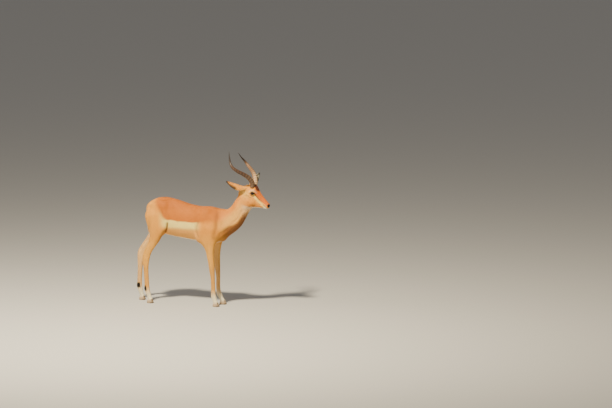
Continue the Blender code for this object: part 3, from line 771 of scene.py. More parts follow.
@dataclass
class Ear:
    """A leaf-shaped cup: an outer arc and, one wall inside it, an inner arc, from root to tip."""

    base: tuple
    tip: tuple
    opening: tuple
    sag: float = 0.0
    # which edge carries the dark band of black rim and painted shade
    dark_side: int = 1
    half_width: float = 0.0315
    wall: float = 0.0036
    arc_base: float = 172.0
    arc_tip: float = 92.0
    stations: int = 46
    arc_points: int = 23

    def __post_init__(self) -> None:
        """Works out the ear's own axes."""
        self.start = np.array(self.base)
        span = np.array(self.tip) - self.start
        self.length = float(np.linalg.norm(span))
        self.axis = span / self.length
        facing = np.array(self.opening) - self.axis * (np.array(self.opening) @ self.axis)
        self.facing = facing / np.linalg.norm(facing)
        self.across = np.cross(self.axis, self.facing)

    def profile(self, t: Array) -> tuple[Array, Array]:
        """Half width and arc angle at shares of the length.

        The half width follows a power of a sine, sin(pi (0.16 + 0.84 t)) to the 0.8, and the arc
        opens out from the root to the tip.
        """
        swell = np.maximum(np.sin(np.pi * (0.16 + 0.84 * t)), 0.02) ** 0.8
        return self.half_width * swell, np.radians(self.arc_base + (self.arc_tip - self.arc_base) * t**0.6)

    def rings(self) -> Array:
        """The rings of the ear, with a free edge that thins to a rounded lip and two folds inside."""
        t = np.linspace(0, 0.985, self.stations)[:, None]
        half, arc = self.profile(t)
        radius = half / np.sin(arc / 2)
        wall = self.wall * (1 - 0.55 * t)
        share = np.linspace(-1, 1, self.arc_points)[None, :]
        angle = share * arc / 2
        edge = wall * np.sqrt(1 - 0.85 * share**8) * 0.5
        fold = 0.0012 * np.sin(np.pi * t) * (np.cos(angle * 7.0) - 0.3) * (1 - share**2)
        middle_r = radius - wall / 2
        rings = []
        for sign in (1, -1):
            r = middle_r + sign * edge - (fold if sign < 0 else 0)
            out = r[..., None] * (np.sin(angle)[..., None] * self.across)
            down = (r * np.cos(angle) - radius * np.cos(arc / 2))[..., None] * self.facing
            rings.append(out - down)
        loop = np.concatenate([rings[0], rings[1][:, ::-1]], axis=1)
        drop = (-4 * self.sag * t * (1 - t))[..., None] * np.array((0.0, 0.0, 1.0))
        return self.start + self.axis * (t * self.length)[..., None] + drop + loop

    def local(self, p: Array) -> tuple[Array, Array, Array]:
        """Share of the length, sideways place and place towards the opening, of any points."""
        offset = p - self.start
        t = offset @ self.axis / self.length
        within = np.clip(t, 0, 1)
        offset = offset + (4 * self.sag * within * (1 - within))[:, None] * np.array((0.0, 0.0, 1.0))
        return t, offset @ self.across, offset @ self.facing

    def owns(self, p: Array) -> Array:
        """Whether points lie in the ear's own space."""
        t, side, out = self.local(p)
        half, _ = self.profile(np.clip(t, 0, 1))
        return (t > 0.02) & (t < 1.1) & (np.abs(side) < half * 1.25 + 0.003) & (out < 0.012) & (out > -0.045)


@dataclass
class Tail:
    """The tail: an oval tube that leaves the rump and hangs between the thighs."""

    form: BodyForm = field(default_factory=BodyForm)
    stations: tuple = (
        (-0.434, 0.884, 0.0190, 0.0130),
        (-0.478, 0.846, 0.0175, 0.0120),
        (-0.490, 0.800, 0.0145, 0.0095),
        (-0.487, 0.735, 0.0130, 0.0085),
        (-0.475, 0.665, 0.0120, 0.0080),
        (-0.463, 0.605, 0.0095, 0.0060),
        (-0.456, 0.580, 0.0040, 0.0025),
    )
    sides: int = 22
    count: int = 60
    owned_half: float = 0.0225  # how far to either side of Y = 0 the tail's own hair grows
    owned_top: float = 0.890
    owned_reach: float = 0.024  # how far in front of the tail's middle, or behind it

    def rings(self) -> Array:
        """Ovals across the route, wide from side to side."""
        line = route(self.stations, self.count)
        place = np.stack([line[:, 0], 0 * line[:, 0], line[:, 1]], axis=1)
        heading = unit(np.gradient(place, axis=0))
        side = np.array((0.0, 1.0, 0.0))
        over = np.cross(heading, side)
        angle = full_turn(self.sides)[None, :, None]
        wide, thick = line[:, 2, None, None], line[:, 3, None, None]
        return place[:, None] + wide * np.cos(angle) * side + thick * np.sin(angle) * over[:, None]

    def owns(self, p: Array) -> Array:
        """Whether points lie in the tail's own space, behind the rump."""
        x = smooth_column(-p[:, 2], tuple((-z, x) for x, z, _, _ in self.stations), 1)
        near = (np.abs(p[:, 1]) < self.owned_half) & (p[:, 2] < self.owned_top)
        near &= np.abs(p[:, 0] - x) < self.owned_reach
        near[near] = self.form.skin(p[near]) > 0.0004
        return near


EARS = {
    Side.RIGHT: Ear((0.446, -0.040, 1.036), (0.294, -0.102, 1.104), (-0.51, 0.54, -0.67), 0.016),
    Side.LEFT: Ear((0.458, 0.042, 1.036), (0.498, 0.155, 1.156), (0.85, -0.45, 0.18)),
}


# ------------------------------------------------------------------ markings


def tint(red: int, green: int, blue: int) -> Array:
    """A colour on the usual 0 to 255 screen scale, as linear light."""
    c = np.array((red, green, blue)) / 255
    return np.where(c <= 0.04045, c / 12.92, ((c + 0.055) / 1.055) ** 2.4)


def filled(colour: Array, count: int) -> Array:
    """One colour, a row for each of so many points."""
    return np.repeat(colour[None], count, axis=0)


class Palette:
    """The coat's colours, as linear light."""

    fawn = tint(226, 146, 48)
    saddle = tint(198, 112, 27)
    spine = tint(182, 98, 26)
    band = tint(253, 226, 130)
    # tan below the pale band, partly painted shade of the belly's underside
    low_flank_and_shade = tint(243, 174, 84)
    white = tint(252, 240, 208)
    shoulder = tint(231, 154, 50)
    neck_side = tint(244, 182, 88)
    nape = tint(228, 139, 42)
    thigh = tint(238, 164, 60)
    leg = tint(243, 176, 70)
    cannon = tint(230, 166, 74)
    pale = tint(252, 240, 206)
    forehead = tint(84, 38, 18)
    bridge = tint(204, 103, 12)
    cheek = tint(234, 156, 56)
    # painted shade, laid in the hollows of the side and along the underside of the neck
    shade = tint(104, 46, 16)
    black = tint(26, 20, 16)
    grey = tint(70, 58, 50)


@dataclass
class Markings(Palette):
    """The animal's markings, worked out from place alone, so that skin and tufts agree."""

    form: BodyForm
    tail: Tail
    saddle_edge: tuple = (
        (-0.445, 0.960),
        (-0.388, 0.920),
        (-0.338, 0.830),
        (-0.295, 0.765),
        (-0.200, 0.741),
        (-0.100, 0.735),
        (0.000, 0.733),
        (0.080, 0.738),
        (0.190, 0.752),
    )
    bridge_edge: tuple = (
        (0.030, 0.092),
        (0.060, 0.070),
        (0.080, 0.0545),
        (0.131, 0.036),
        (0.170, 0.028),
        (0.220, 0.022),
    )
    # painted shade along hollows in the side view: route, half-width, strength
    crease_shade_lines: tuple = (
        (((0.188, 0.850), (0.194, 0.760), (0.190, 0.690), (0.172, 0.610)), 0.018, 0.42),
        (((0.036, 0.735), (0.020, 0.700), (0.016, 0.660), (0.034, 0.610)), 0.012, 0.30),
        (FLANK_FOLD, 0.009, 0.85),
        (((-0.300, 0.640), (-0.330, 0.590), (-0.360, 0.545)), 0.012, 0.35),
    )

    def colour(self, p: Array, normal: Array) -> Array:
        """The colour of the coat at points of the skin.

        Args:
            p: places in the body's own frame.
            normal: outward directions there.

        Returns:
            Linear red, green and blue for each point.
        """
        weight = self.form.zones(p, 0.026)
        found = filled(self.fawn, len(p))
        found = self.trunk(found, p, normal)
        for zone, part in ((Zone.NECK, self.neck), (Zone.FORE, self.foreleg), (Zone.HIND, self.hindleg)):
            share = weight[:, zone.value, None]
            found = found * (1 - share) + part(found, p, normal) * share
        found = self.painted_crease_shade(found, p)
        share = weight[:, Zone.HEAD.value, None]
        found = found * (1 - share) + self.face(found, p) * share
        found = self.feet(found, p)
        for ear in EARS.values():
            found = self.ear(found, p, normal, ear)
        return self.tail_line(found, p, normal)

    @staticmethod
    def paint(base: Array, mask: Array, colour: Array) -> Array:
        """Lays a colour over a base where the mask is one."""
        return base + np.clip(mask, 0, 1)[:, None] * (colour - base)

    @classmethod
    def layered(cls, base: Array, *layers: tuple) -> Array:
        """Lays colours over a base in turn; each layer is a mask and a colour."""
        for mask, colour in layers:
            base = cls.paint(base, mask, colour)
        return base

    def painted_crease_shade(self, base: Array, p: Array) -> Array:
        """Painted shade in the hollows round the shoulder and in front of the thigh."""
        x, z = self.form.legs_straight(p), p[:, 2]
        side_on = ramp(np.abs(p[:, 1]), 0.020, 0.045) * ramp(z, 0.52, 0.56)
        found = base
        for path, width, strength in self.crease_shade_lines:
            mask = np.exp(-((path_distance(x, z, path) / width) ** 2))
            found = self.paint(found, mask * strength * side_on, self.shade)
        return found

    def trunk(self, base: Array, p: Array, normal: Array) -> Array:
        """Saddle with its sharp lower edge, pale band, white belly, shoulder, rump and stripes."""
        x, y, z = self.form.legs_straight(p), np.abs(p[:, 1]), p[:, 2]
        edge = smooth_column(x, self.saddle_edge, 1) + 0.0015 * np.sin(x * 47) + 0.001 * np.sin(x * 131)
        front = ramp(x, 0.0, 0.100)
        rear = ramp(x, -0.270, -0.350)
        blur = 0.006 + 0.060 * ramp(x, -0.25, -0.36) + 0.022 * ramp(x, 0.0, 0.12)
        behind = ramp(normal[:, 0], -0.74, -0.90) * ramp(x, -0.435, -0.455)
        stripe = bump(y, 0.064, 0.0075) * ramp(z, 0.840, 0.820) * ramp(z, 0.635, 0.665)
        return self.layered(
            base,
            (ramp(z, 0.640, 0.690) * (1 - front), self.band),  # band under the saddle
            # lower flank: tan, partly painted shade
            (ramp(z, 0.690, 0.640) * (1 - front), self.low_flank_and_shade),
            (front, self.shoulder),
            (front * ramp(z, 0.66, 0.60) * 0.5, self.leg),
            (ramp(normal[:, 2], -0.78, -0.94) * ramp(z, 0.64, 0.61), self.white),  # belly
            (rear, self.thigh),
            (ramp((z - edge) / blur, -1, 1), self.saddle),
            (ramp(z, 0.815, 0.875) * ramp(x, -0.40, -0.27) * 0.55, self.spine),  # upper saddle
            (ramp(y, 0.020, 0.008) * ramp(z, 0.83, 0.85) * 0.65, self.spine * 0.75),  # line down the spine
            (behind * ramp(z, 0.855, 0.835) * ramp(y, 0.064, 0.058), self.white),  # rump
            (behind * stripe * 1.4, self.black),  # rump stripes
        )

    def neck(self, base: Array, p: Array, normal: Array) -> Array:
        """Pale sides, a redder nape, fawn towards the shoulder and painted shade along the underside."""
        along, across = self.form.neck_frame(p)
        low, high = smooth_columns(along, self.form.neck, 1, 2)
        share = (across - low) / (high - low)
        reach = 0.20 + 0.12 * ramp(along, 0.04, -0.06)
        under = ramp(share, reach + 0.06, reach - 0.08) * ramp(along, 0.20, 0.10)
        return self.layered(
            base,
            (np.ones(len(p)), self.neck_side),
            (ramp(share, 0.50, 0.86), self.nape),
            (ramp(along, -0.06, -0.16) * 0.9, self.shoulder),
            # painted shade along the underside of the neck
            (under * 0.85, self.shade),
        )

    def foreleg(self, base: Array, p: Array, normal: Array) -> Array:
        """Fawn, a little darker down the cannon and a little paler inside."""
        z = p[:, 2]
        inner = -normal[:, 1] * np.sign(p[:, 1])
        return self.layered(
            base,
            (ramp(z, 0.60, 0.50), self.leg),
            (ramp(z, 0.42, 0.30), self.cannon),
            (ramp(inner, 0.3, 0.8) * ramp(z, 0.66, 0.58) * 0.18, self.white),
        )

    def hindleg(self, base: Array, p: Array, normal: Array) -> Array:
        """Fawn thigh that pales to the hock, a darker cannon, and a little paler inside."""
        z = p[:, 2]
        inner = -normal[:, 1] * np.sign(p[:, 1])
        return self.layered(
            base,
            (ramp(z, 0.72, 0.66), self.thigh),
            (ramp(z, 0.60, 0.50), self.leg),
            (ramp(z, 0.36, 0.28), self.cannon),
            (ramp(inner, 0.2, 0.7) * ramp(z, 0.80, 0.72) * 0.22, self.white),
        )

    def feet(self, base: Array, p: Array) -> Array:
        """Whitish pasterns, a dark coronet, and the black tuft above each hind fetlock."""
        z = p[:, 2]
        x = self.form.legs_straight(p)
        front, rear = smooth_columns(z, self.form.hindleg, 1, 2)
        share = (x - rear) / (front - rear)
        inner = ramp(np.abs(p[:, 1]), 0.080, 0.074) * ramp(share, 0.85, 0.65)
        hind = (x < -0.35) * np.maximum(ramp(share, 0.58, 0.38), inner)
        return self.layered(
            base,
            (ramp(z, 0.165, 0.060), self.pale),  # pasterns
            (ramp(z, 0.0425, 0.0385) * 0.35, self.grey),  # coronet
            (hind * ramp(z, 0.162, 0.150) * ramp(z, 0.106, 0.118), self.black),  # tufts
        )

    def face(self, base: Array, p: Array) -> Array:
        """Dark forehead, orange bridge, pale cheek, eye ring, chin and throat, and a black nose."""
        s, n = self.form.head_frame(p)
        y = np.abs(p[:, 1])
        jaw, brow = smooth_columns(s, self.form.head, 1, 2)
        share = (n - jaw) / (brow - jaw)
        edge = smooth_column(s, self.bridge_edge, 1)
        stripe = bump(n - edge, -0.015, 0.013) * ramp(s, 0.04, 0.07) * ramp(s, 0.225, 0.205)
        tear = np.exp(-(((n - edge + 0.0005) / 0.0042) ** 2)) * ramp(s, 0.066, 0.078) * ramp(s, 0.185, 0.125)
        throat = ramp(share, 0.12, 0.03) * ramp(s, 0.015, 0.070)
        crown = ramp(n, 0.078, 0.092) * ramp(y, 0.030, 0.022) * ramp(s, 0.012, 0.030) * ramp(s, 0.098, 0.078)
        a, b, out = self.form.eye_frame(p)
        ring = np.hypot(a / 1.35, b) * (out > -0.012)
        lids = ramp(self.form.eye_opening(p), -0.0052, -0.0022) * (out > -0.008)
        pad = ramp(s, 0.222, 0.229) * ramp(n, 0.018, 0.022)
        hole = ramp(np.sqrt((s - 0.227) ** 2 + (n - 0.0345) ** 2 + (y - 0.0125) ** 2), 0.0135, 0.0105)
        lips = path_distance(s, n, LIP_LINE)
        return self.layered(
            base,
            (np.ones(len(p)), self.cheek),
            (ramp(share, 0.40, 0.16) * ramp(s, 0.00, 0.05) * 0.55, self.nape),  # jaw
            (stripe * 0.75, self.band),  # pale stripe below the bridge
            (bump(np.hypot((s + 0.005) / 1.6, n - 0.005), 0.0, 0.036) * 0.5, self.band),  # below the ear
            (ramp(n - edge, -0.001, 0.006) * ramp(s, 0.040, 0.070), self.bridge),
            (tear * ramp(y, 0.010, 0.014) * 0.95, self.forehead),  # line in front of the eye
            (throat, self.white),  # throat
            (ramp(s, 0.185, 0.215) * ramp(share, 0.38, 0.24), self.white),  # chin
            (crown, self.forehead),  # forehead
            (bump(ring, 0.0230, 0.0060) * (out > -0.012) * (b > 0) * 0.25, self.pale),  # above the eye
            (lids, self.black * 0.8),  # lids
            (np.maximum(pad, hole * ramp(n, 0.018, 0.022)), self.black * 1.4),  # nose
            (np.exp(-((lips / 0.0028) ** 2)) * 0.85, self.black),  # lips
        )

    def ear(self, base: Array, p: Array, normal: Array, ear: Ear) -> Array:
        """A fawn back with a dark rim and black tip, a pale inside with a grey middle, and a dark band along
        one edge that is partly the black rim and partly painted shade of the cup's inside.
        """
        t, side, _ = ear.local(p)
        half, _ = ear.profile(np.clip(t, 0, 1))
        mine = ear.owns(p) * ramp(t, 0.06, 0.20)
        inside = ramp(normal @ ear.facing, -0.1, 0.3)
        rim = np.abs(side) / half
        back = self.paint(filled(self.shoulder, len(p)), ramp(t, 0.45, 0.80) * 0.35, self.spine)
        deep = bump(rim, 0.0, 0.45) * 0.55
        front = self.paint(filled(self.white, len(p)), deep, self.grey)
        found = back * (1 - inside[:, None]) + front * inside[:, None]
        # dark band along one edge: part black rim, part painted shade of the cup's inside
        lower = ramp(side * ear.dark_side / half, 0.10, 0.75) * ramp(t, 0.25, 0.45)
        dark = np.maximum(ramp(rim, 0.86, 1.0) * 0.8, lower * 0.9) * ramp(t, 0.30, 0.50)
        found = self.paint(found, dark, self.black)
        found = self.paint(found, ramp(t, 0.80, 0.94) * 0.9, self.black)
        return base + mine[:, None] * (found - base)

    def tail_line(self, base: Array, p: Array, normal: Array) -> Array:
        """A fawn tail, white below and at the tip, with a black line down its back."""
        mine = self.tail.owns(p).astype(float)
        found = filled(self.thigh, len(p))
        pale = np.maximum(ramp(p[:, 2], 0.68, 0.58), ramp(normal[:, 0], 0.0, 0.5))
        found = self.paint(found, pale, self.white)
        line = ramp(np.abs(p[:, 1]), 0.0085, 0.0055) * ramp(normal[:, 0], -0.1, -0.4)
        found = self.paint(found, line * ramp(p[:, 2], 0.845, 0.825), self.black)
        return base + mine[:, None] * (found - base)


# ------------------------------------------------------------------ the lie of the hair


@dataclass
class Lie:
    """Which way the coat lies at each place: towards the tail, down the legs, up the face."""

    form: BodyForm
    tail: Tail
    # waves that turn the lie a little to either side: size, radians per metre along X, Y and Z
    sways: tuple = ((0.10, (41.0, 23.0, 29.0)), (0.06, (97.0, -61.0, 83.0)))

    def direction(self, p: Array, normal: Array) -> Array:
        """Directions of the hair, along the surface, of length one."""
        weight = self.form.zones(p, 0.024)
        x, z = p[:, 0], p[:, 2]
        trunk = np.stack([-1 + 0 * x, 0 * x, -0.10 - 0.45 * ramp(z, 0.84, 0.70)], axis=1)
        rump = ramp(x, -0.36, -0.46)[:, None]
        chest = ramp(x, 0.10, 0.19)[:, None]
        trunk = trunk * (1 - rump) + np.array((-0.25, 0, -1.0)) * rump
        trunk = trunk * (1 - chest) + np.array((-0.35, 0, -1.0)) * chest
        total = weight[:, Zone.TRUNK.value, None] * unit(trunk)
        for zone, lie in (
            (Zone.NECK, (-0.66, 0.0, -0.75)),
            (Zone.HEAD, (-0.841, 0.0, 0.541)),
            (Zone.FORE, (-0.10, 0.0, -1.0)),
            (Zone.HIND, (-0.22, 0.0, -1.0)),
        ):
            total = total + weight[:, zone.value, None] * unit(np.array(lie))
        for ear in EARS.values():
            mine = ear.owns(p)[:, None]
            total = np.where(mine, ear.axis, total)
        total = np.where(self.tail.owns(p)[:, None], np.array((0.0, 0.0, -1.0)), total)
        sway = sum(size * np.sin(p @ np.array(wave)) for size, wave in self.sways)
        total = unit(total - normal * (total * normal).sum(axis=1, keepdims=True))
        return unit(total + sway[:, None] * np.cross(normal, total))


# ------------------------------------------------------------------ finishes


def node_group(name: str, inputs: tuple, outputs: tuple) -> tuple:
    """Starts a shader group, with sockets given as (name, type, default value or None).

    Args:
        name: the group's name.
        inputs: the input sockets.
        outputs: the output sockets.

    Returns:
        The group, its input node and its output node.
    """
    group = bpy.data.node_groups.new(name, "ShaderNodeTree")
    for label, kind, value in inputs:
        made = group.interface.new_socket(name=label, in_out="INPUT", socket_type=f"NodeSocket{kind}")
        if value is not None:
            made.default_value = value
    for label, kind, _ in outputs:
        group.interface.new_socket(name=label, in_out="OUTPUT", socket_type=f"NodeSocket{kind}")
    return group, group.nodes.new("NodeGroupInput"), group.nodes.new("NodeGroupOutput")


def math_node(tree: bpy.types.NodeTree, operation: str, a: object, b: object = 0.0) -> object:
    """Adds a math node and returns its output; each operand is a socket or a number."""
    node = tree.nodes.new("ShaderNodeMath")
    node.operation = operation
    for socket, value in zip(node.inputs, (a, b)):
        if isinstance(value, bpy.types.NodeSocket):
            tree.links.new(value, socket)
        else:
            socket.default_value = value
    return node.outputs[0]


def set_inputs(node: bpy.types.Node, values: dict[str, object]) -> None:
    """Sets inputs of a node that nothing is linked to."""
    for name, value in values.items():
        node.inputs[name].default_value = value


def streak_group() -> bpy.types.NodeTree:
    """Hair grain: fine noise drawn out along the lie, as a brightness factor and a height."""
    group, given, result = node_group(
        "HairGrain",
        (("Grain", "Vector", None), ("Scale", "Float", 420.0), ("Depth", "Float", 0.2)),
        (("Tone", "Float", None), ("Height", "Float", None)),
    )
    fine, broad = (group.nodes.new("ShaderNodeTexNoise") for _ in range(2))
    for noise, detail in ((fine, 2.0), (broad, 3.0)):
        group.links.new(given.outputs["Grain"], noise.inputs["Vector"])
        set_inputs(noise, {"Detail": detail})
    group.links.new(given.outputs["Scale"], fine.inputs["Scale"])
    group.links.new(math_node(group, "MULTIPLY", given.outputs["Scale"], 0.06), broad.inputs["Scale"])
    both = math_node(group, "ADD", fine.outputs["Fac"], broad.outputs["Fac"])
    swing = math_node(group, "SUBTRACT", both, 1.0)
    tone = math_node(group, "ADD", math_node(group, "MULTIPLY", swing, given.outputs["Depth"]), 1.0)
    group.links.new(tone, result.inputs["Tone"])
    group.links.new(fine.outputs["Fac"], result.inputs["Height"])
    return group


@dataclass(frozen=True)
class Finish:
    """A finish that takes its colour from the marking stored on the mesh."""

    name: str
    roughness: float
    specular: float = 0.3
    sheen: float = 0.0
    coat: float = 0.0
    grain_scale: float = 420.0
    grain_depth: float = 0.22
    bump: float = 0.0
    grain_stored: bool = False

    def build(self, grain: bpy.types.NodeTree) -> bpy.types.Material:
        """Makes the material.

        Args:
            grain: the hair grain group.

        Returns:
            The material, with the principled shader at its root.
        """
        material = bpy.data.materials.new(self.name)
        material.use_nodes = True
        tree = material.node_tree
        shader = tree.nodes["Principled BSDF"]
        marking = tree.nodes.new("ShaderNodeAttribute")
        marking.attribute_name = "marking"
        noise = tree.nodes.new("ShaderNodeGroup")
        noise.node_tree = grain
        set_inputs(noise, {"Scale": self.grain_scale, "Depth": self.grain_depth})
        if self.grain_stored:
            place = tree.nodes.new("ShaderNodeAttribute")
            place.attribute_name = "grain"
            tree.links.new(place.outputs["Vector"], noise.inputs["Grain"])
        else:
            place = tree.nodes.new("ShaderNodeTexCoord")
            tree.links.new(place.outputs["Object"], noise.inputs["Grain"])
        toned = tree.nodes.new("ShaderNodeVectorMath")
        toned.operation = "SCALE"
        tree.links.new(marking.outputs["Color"], toned.inputs[0])
        tree.links.new(noise.outputs["Tone"], toned.inputs["Scale"])
        tree.links.new(toned.outputs[0], shader.inputs["Base Color"])
        set_inputs(
            shader,
            {
                "Roughness": self.roughness,
                "Specular IOR Level": self.specular,
                "Sheen Weight": self.sheen,
                "Coat Weight": self.coat,
                "Coat Roughness": 0.03,
            },
        )
        if self.bump:
            raised = tree.nodes.new("ShaderNodeBump")
            set_inputs(raised, {"Strength": 0.6, "Distance": self.bump})
            tree.links.new(noise.outputs["Height"], raised.inputs["Height"])
            tree.links.new(raised.outputs["Normal"], shader.inputs["Normal"])
        return material


SKIN_FINISH = Finish("impala_skin", 0.72, sheen=0.10, bump=0.0012, grain_stored=True)
COAT_FINISH = Finish("impala_coat", 0.66, sheen=0.12, grain_scale=160.0, grain_depth=0.16)
HORN_FINISH = Finish("impala_horn", 0.48, specular=0.4, bump=0.0006, grain_scale=260.0, grain_stored=True)
HOOF_FINISH = Finish("impala_hoof", 0.42, specular=0.4, bump=0.0005, grain_scale=220.0, grain_stored=True)
EYE_FINISH = Finish("impala_eye", 0.10, specular=0.2, coat=0.3, grain_scale=900.0, grain_depth=0.3)


def plain_material(name: str, colour: tuple, roughness: float) -> bpy.types.Material:
    """A material of one colour."""
    material = bpy.data.materials.new(name)
    material.use_nodes = True
    shader = material.node_tree.nodes["Principled BSDF"]
    set_inputs(shader, {"Base Color": (*colour, 1), "Roughness": roughness})
    return material


# ------------------------------------------------------------------ the pieces


@dataclass
class SkinGrid:
    """The graded grid that the skin is drawn from: finest about the eyes, fine on the head."""

    x: tuple = (
        (-0.660, 0.0045),
        (-0.400, 0.0060),
        (0.090, 0.0045),
        (0.220, 0.0050),
        (0.400, 0.0026),
        (0.488, 0.0013),
        (0.542, 0.0022),
        (0.600, 0.0016),
        (0.672, 0.0),
    )
    y_half: tuple = ((0.0, 0.0022), (0.030, 0.0015), (0.062, 0.0045), (0.150, 0.0))
    z: tuple = (
        (0.018, 0.0040),
        (0.120, 0.0060),
        (0.845, 0.0020),
        (0.980, 0.0013),
        (1.026, 0.0024),
        (1.110, 0.0),
    )

    def axes(self, coarser: float) -> list[Array]:
        """The grid's places along X, Y and Z, with all steps scaled by a factor."""
        x, half, z = (
            graded_axis(tuple((at, step * coarser) for at, step in stops))
            for stops in (self.x, self.y_half, self.z)
        )
        return [x, np.concatenate([-half[:0:-1], half]), z]


@dataclass
class Tufts:
    """How tufts grow on one zone of the coat; lengths in metres, density per square metre."""

    density: float
    length: float
    width: float
    lift: float


TUFTS = {
    Zone.TRUNK: Tufts(90000, 0.0150, 0.0017, 0.0021),
    Zone.NECK: Tufts(100000, 0.0150, 0.0016, 0.0021),
    Zone.HEAD: Tufts(320000, 0.0068, 0.0008, 0.0013),
    Zone.FORE: Tufts(148000, 0.0090, 0.00105, 0.0018),
    Zone.HIND: Tufts(145000, 0.0100, 0.00110, 0.0019),
}
EAR_TUFTS = Tufts(290000, 0.0065, 0.0009, 0.0012)
TAIL_TUFTS = Tufts(340000, 0.016, 0.0016, 0.0022)


@dataclass
class Skin:
    """The one skin: body, ears and tail in a single closed mesh."""

    form: BodyForm
    tail: Tail
    grid: SkinGrid = field(default_factory=SkinGrid)

    def build(self, coarser: float) -> bpy.types.Object:
        """Draws the skin and joins the ears and tail onto it.


        Returns:
            The skin, without markings.
        """
        points, quads = surface_of(self.form.skin, self.grid.axes(coarser))
        LOG.info("skin has %d points before settling", len(points))
        points = settle(self.form.skin, points, 2, 0.002)
        body = mesh_object("skin", points, [quads])
        for label, (added_points, added_quads, ends) in (
            ("ear_right_form", cup(EARS[Side.RIGHT].rings())),
            ("ear_left_form", cup(EARS[Side.LEFT].rings())),
            ("tail_form", tube(self.tail.rings())),
        ):
            added = mesh_object(label, added_points, [added_quads, *ends])
            self.join(body, added)
        return body

    @staticmethod
    def join(body: bpy.types.Object, added: bpy.types.Object) -> None:
        """Unites one closed form with the body and removes the loose form."""
        modifier = body.modifiers.new("join", "BOOLEAN")
        modifier.operation = "UNION"
        modifier.solver = "EXACT"
        modifier.object = added
        depsgraph = bpy.context.evaluated_depsgraph_get()
        made = bpy.data.meshes.new_from_object(body.evaluated_get(depsgraph))
        body.modifiers.clear()
        old = body.data
        body.data = made
        bpy.data.meshes.remove(old)
        bpy.data.objects.remove(added)


@dataclass
class Surface:
    """A triangulated copy of the skin in the body's own frame, for growing hair on."""

    points: Array
    normals: Array
    triangles: Array

    @classmethod
    def of(cls, made: bpy.types.Object) -> "Surface":
        """Reads points, point normals and triangles from a mesh object."""
        mesh = made.data
        points = np.empty(len(mesh.vertices) * 3)
        mesh.vertices.foreach_get("co", points)
        normals = np.empty(len(mesh.vertices) * 3)
        mesh.vertex_normals.foreach_get("vector", normals)
        mesh.calc_loop_triangles()
        triangles = np.empty(len(mesh.loop_triangles) * 3, np.int32)
        mesh.loop_triangles.foreach_get("vertices", triangles)
        points = points.reshape(-1, 3) - np.array((SHIFT, 0.0, 0.0))
        return cls(points, normals.reshape(-1, 3), triangles.reshape(-1, 3))

    def scatter(self, density: Array, rng: np.random.Generator) -> tuple[Array, Array]:
        """Places points over the surface, spread more evenly than by chance alone.

        Too many are drawn, and one is kept from each cell of a grid that fits the wanted density.

        Args:
            density: points per square metre, for each triangle.
            rng: the random source.

        Returns:
            Places and normals.
        """
        corner = self.points[self.triangles]
        area = np.linalg.norm(np.cross(corner[:, 1] - corner[:, 0], corner[:, 2] - corner[:, 0]), axis=1) / 2
        count = rng.poisson(area * density * OVERDRAW)
        chosen = np.repeat(np.arange(len(area)), count)
        u, v = np.sqrt(rng.random(len(chosen))), rng.random(len(chosen))
        share = np.stack([1 - u, u * (1 - v), u * v], axis=1)
        place = (corner[chosen] * share[..., None]).sum(axis=1)
        normal = unit((self.normals[self.triangles[chosen]] * share[..., None]).sum(axis=1))
        cell = np.floor(place / (THINNING_CELL / np.sqrt(density[chosen]))[:, None]).astype(np.int64)
        key = np.bitwise_xor.reduce(cell * np.array(CELL_PRIMES), axis=1)
        _, kept = np.unique(key, return_index=True)
        kept.sort()
        return place[kept], normal[kept]


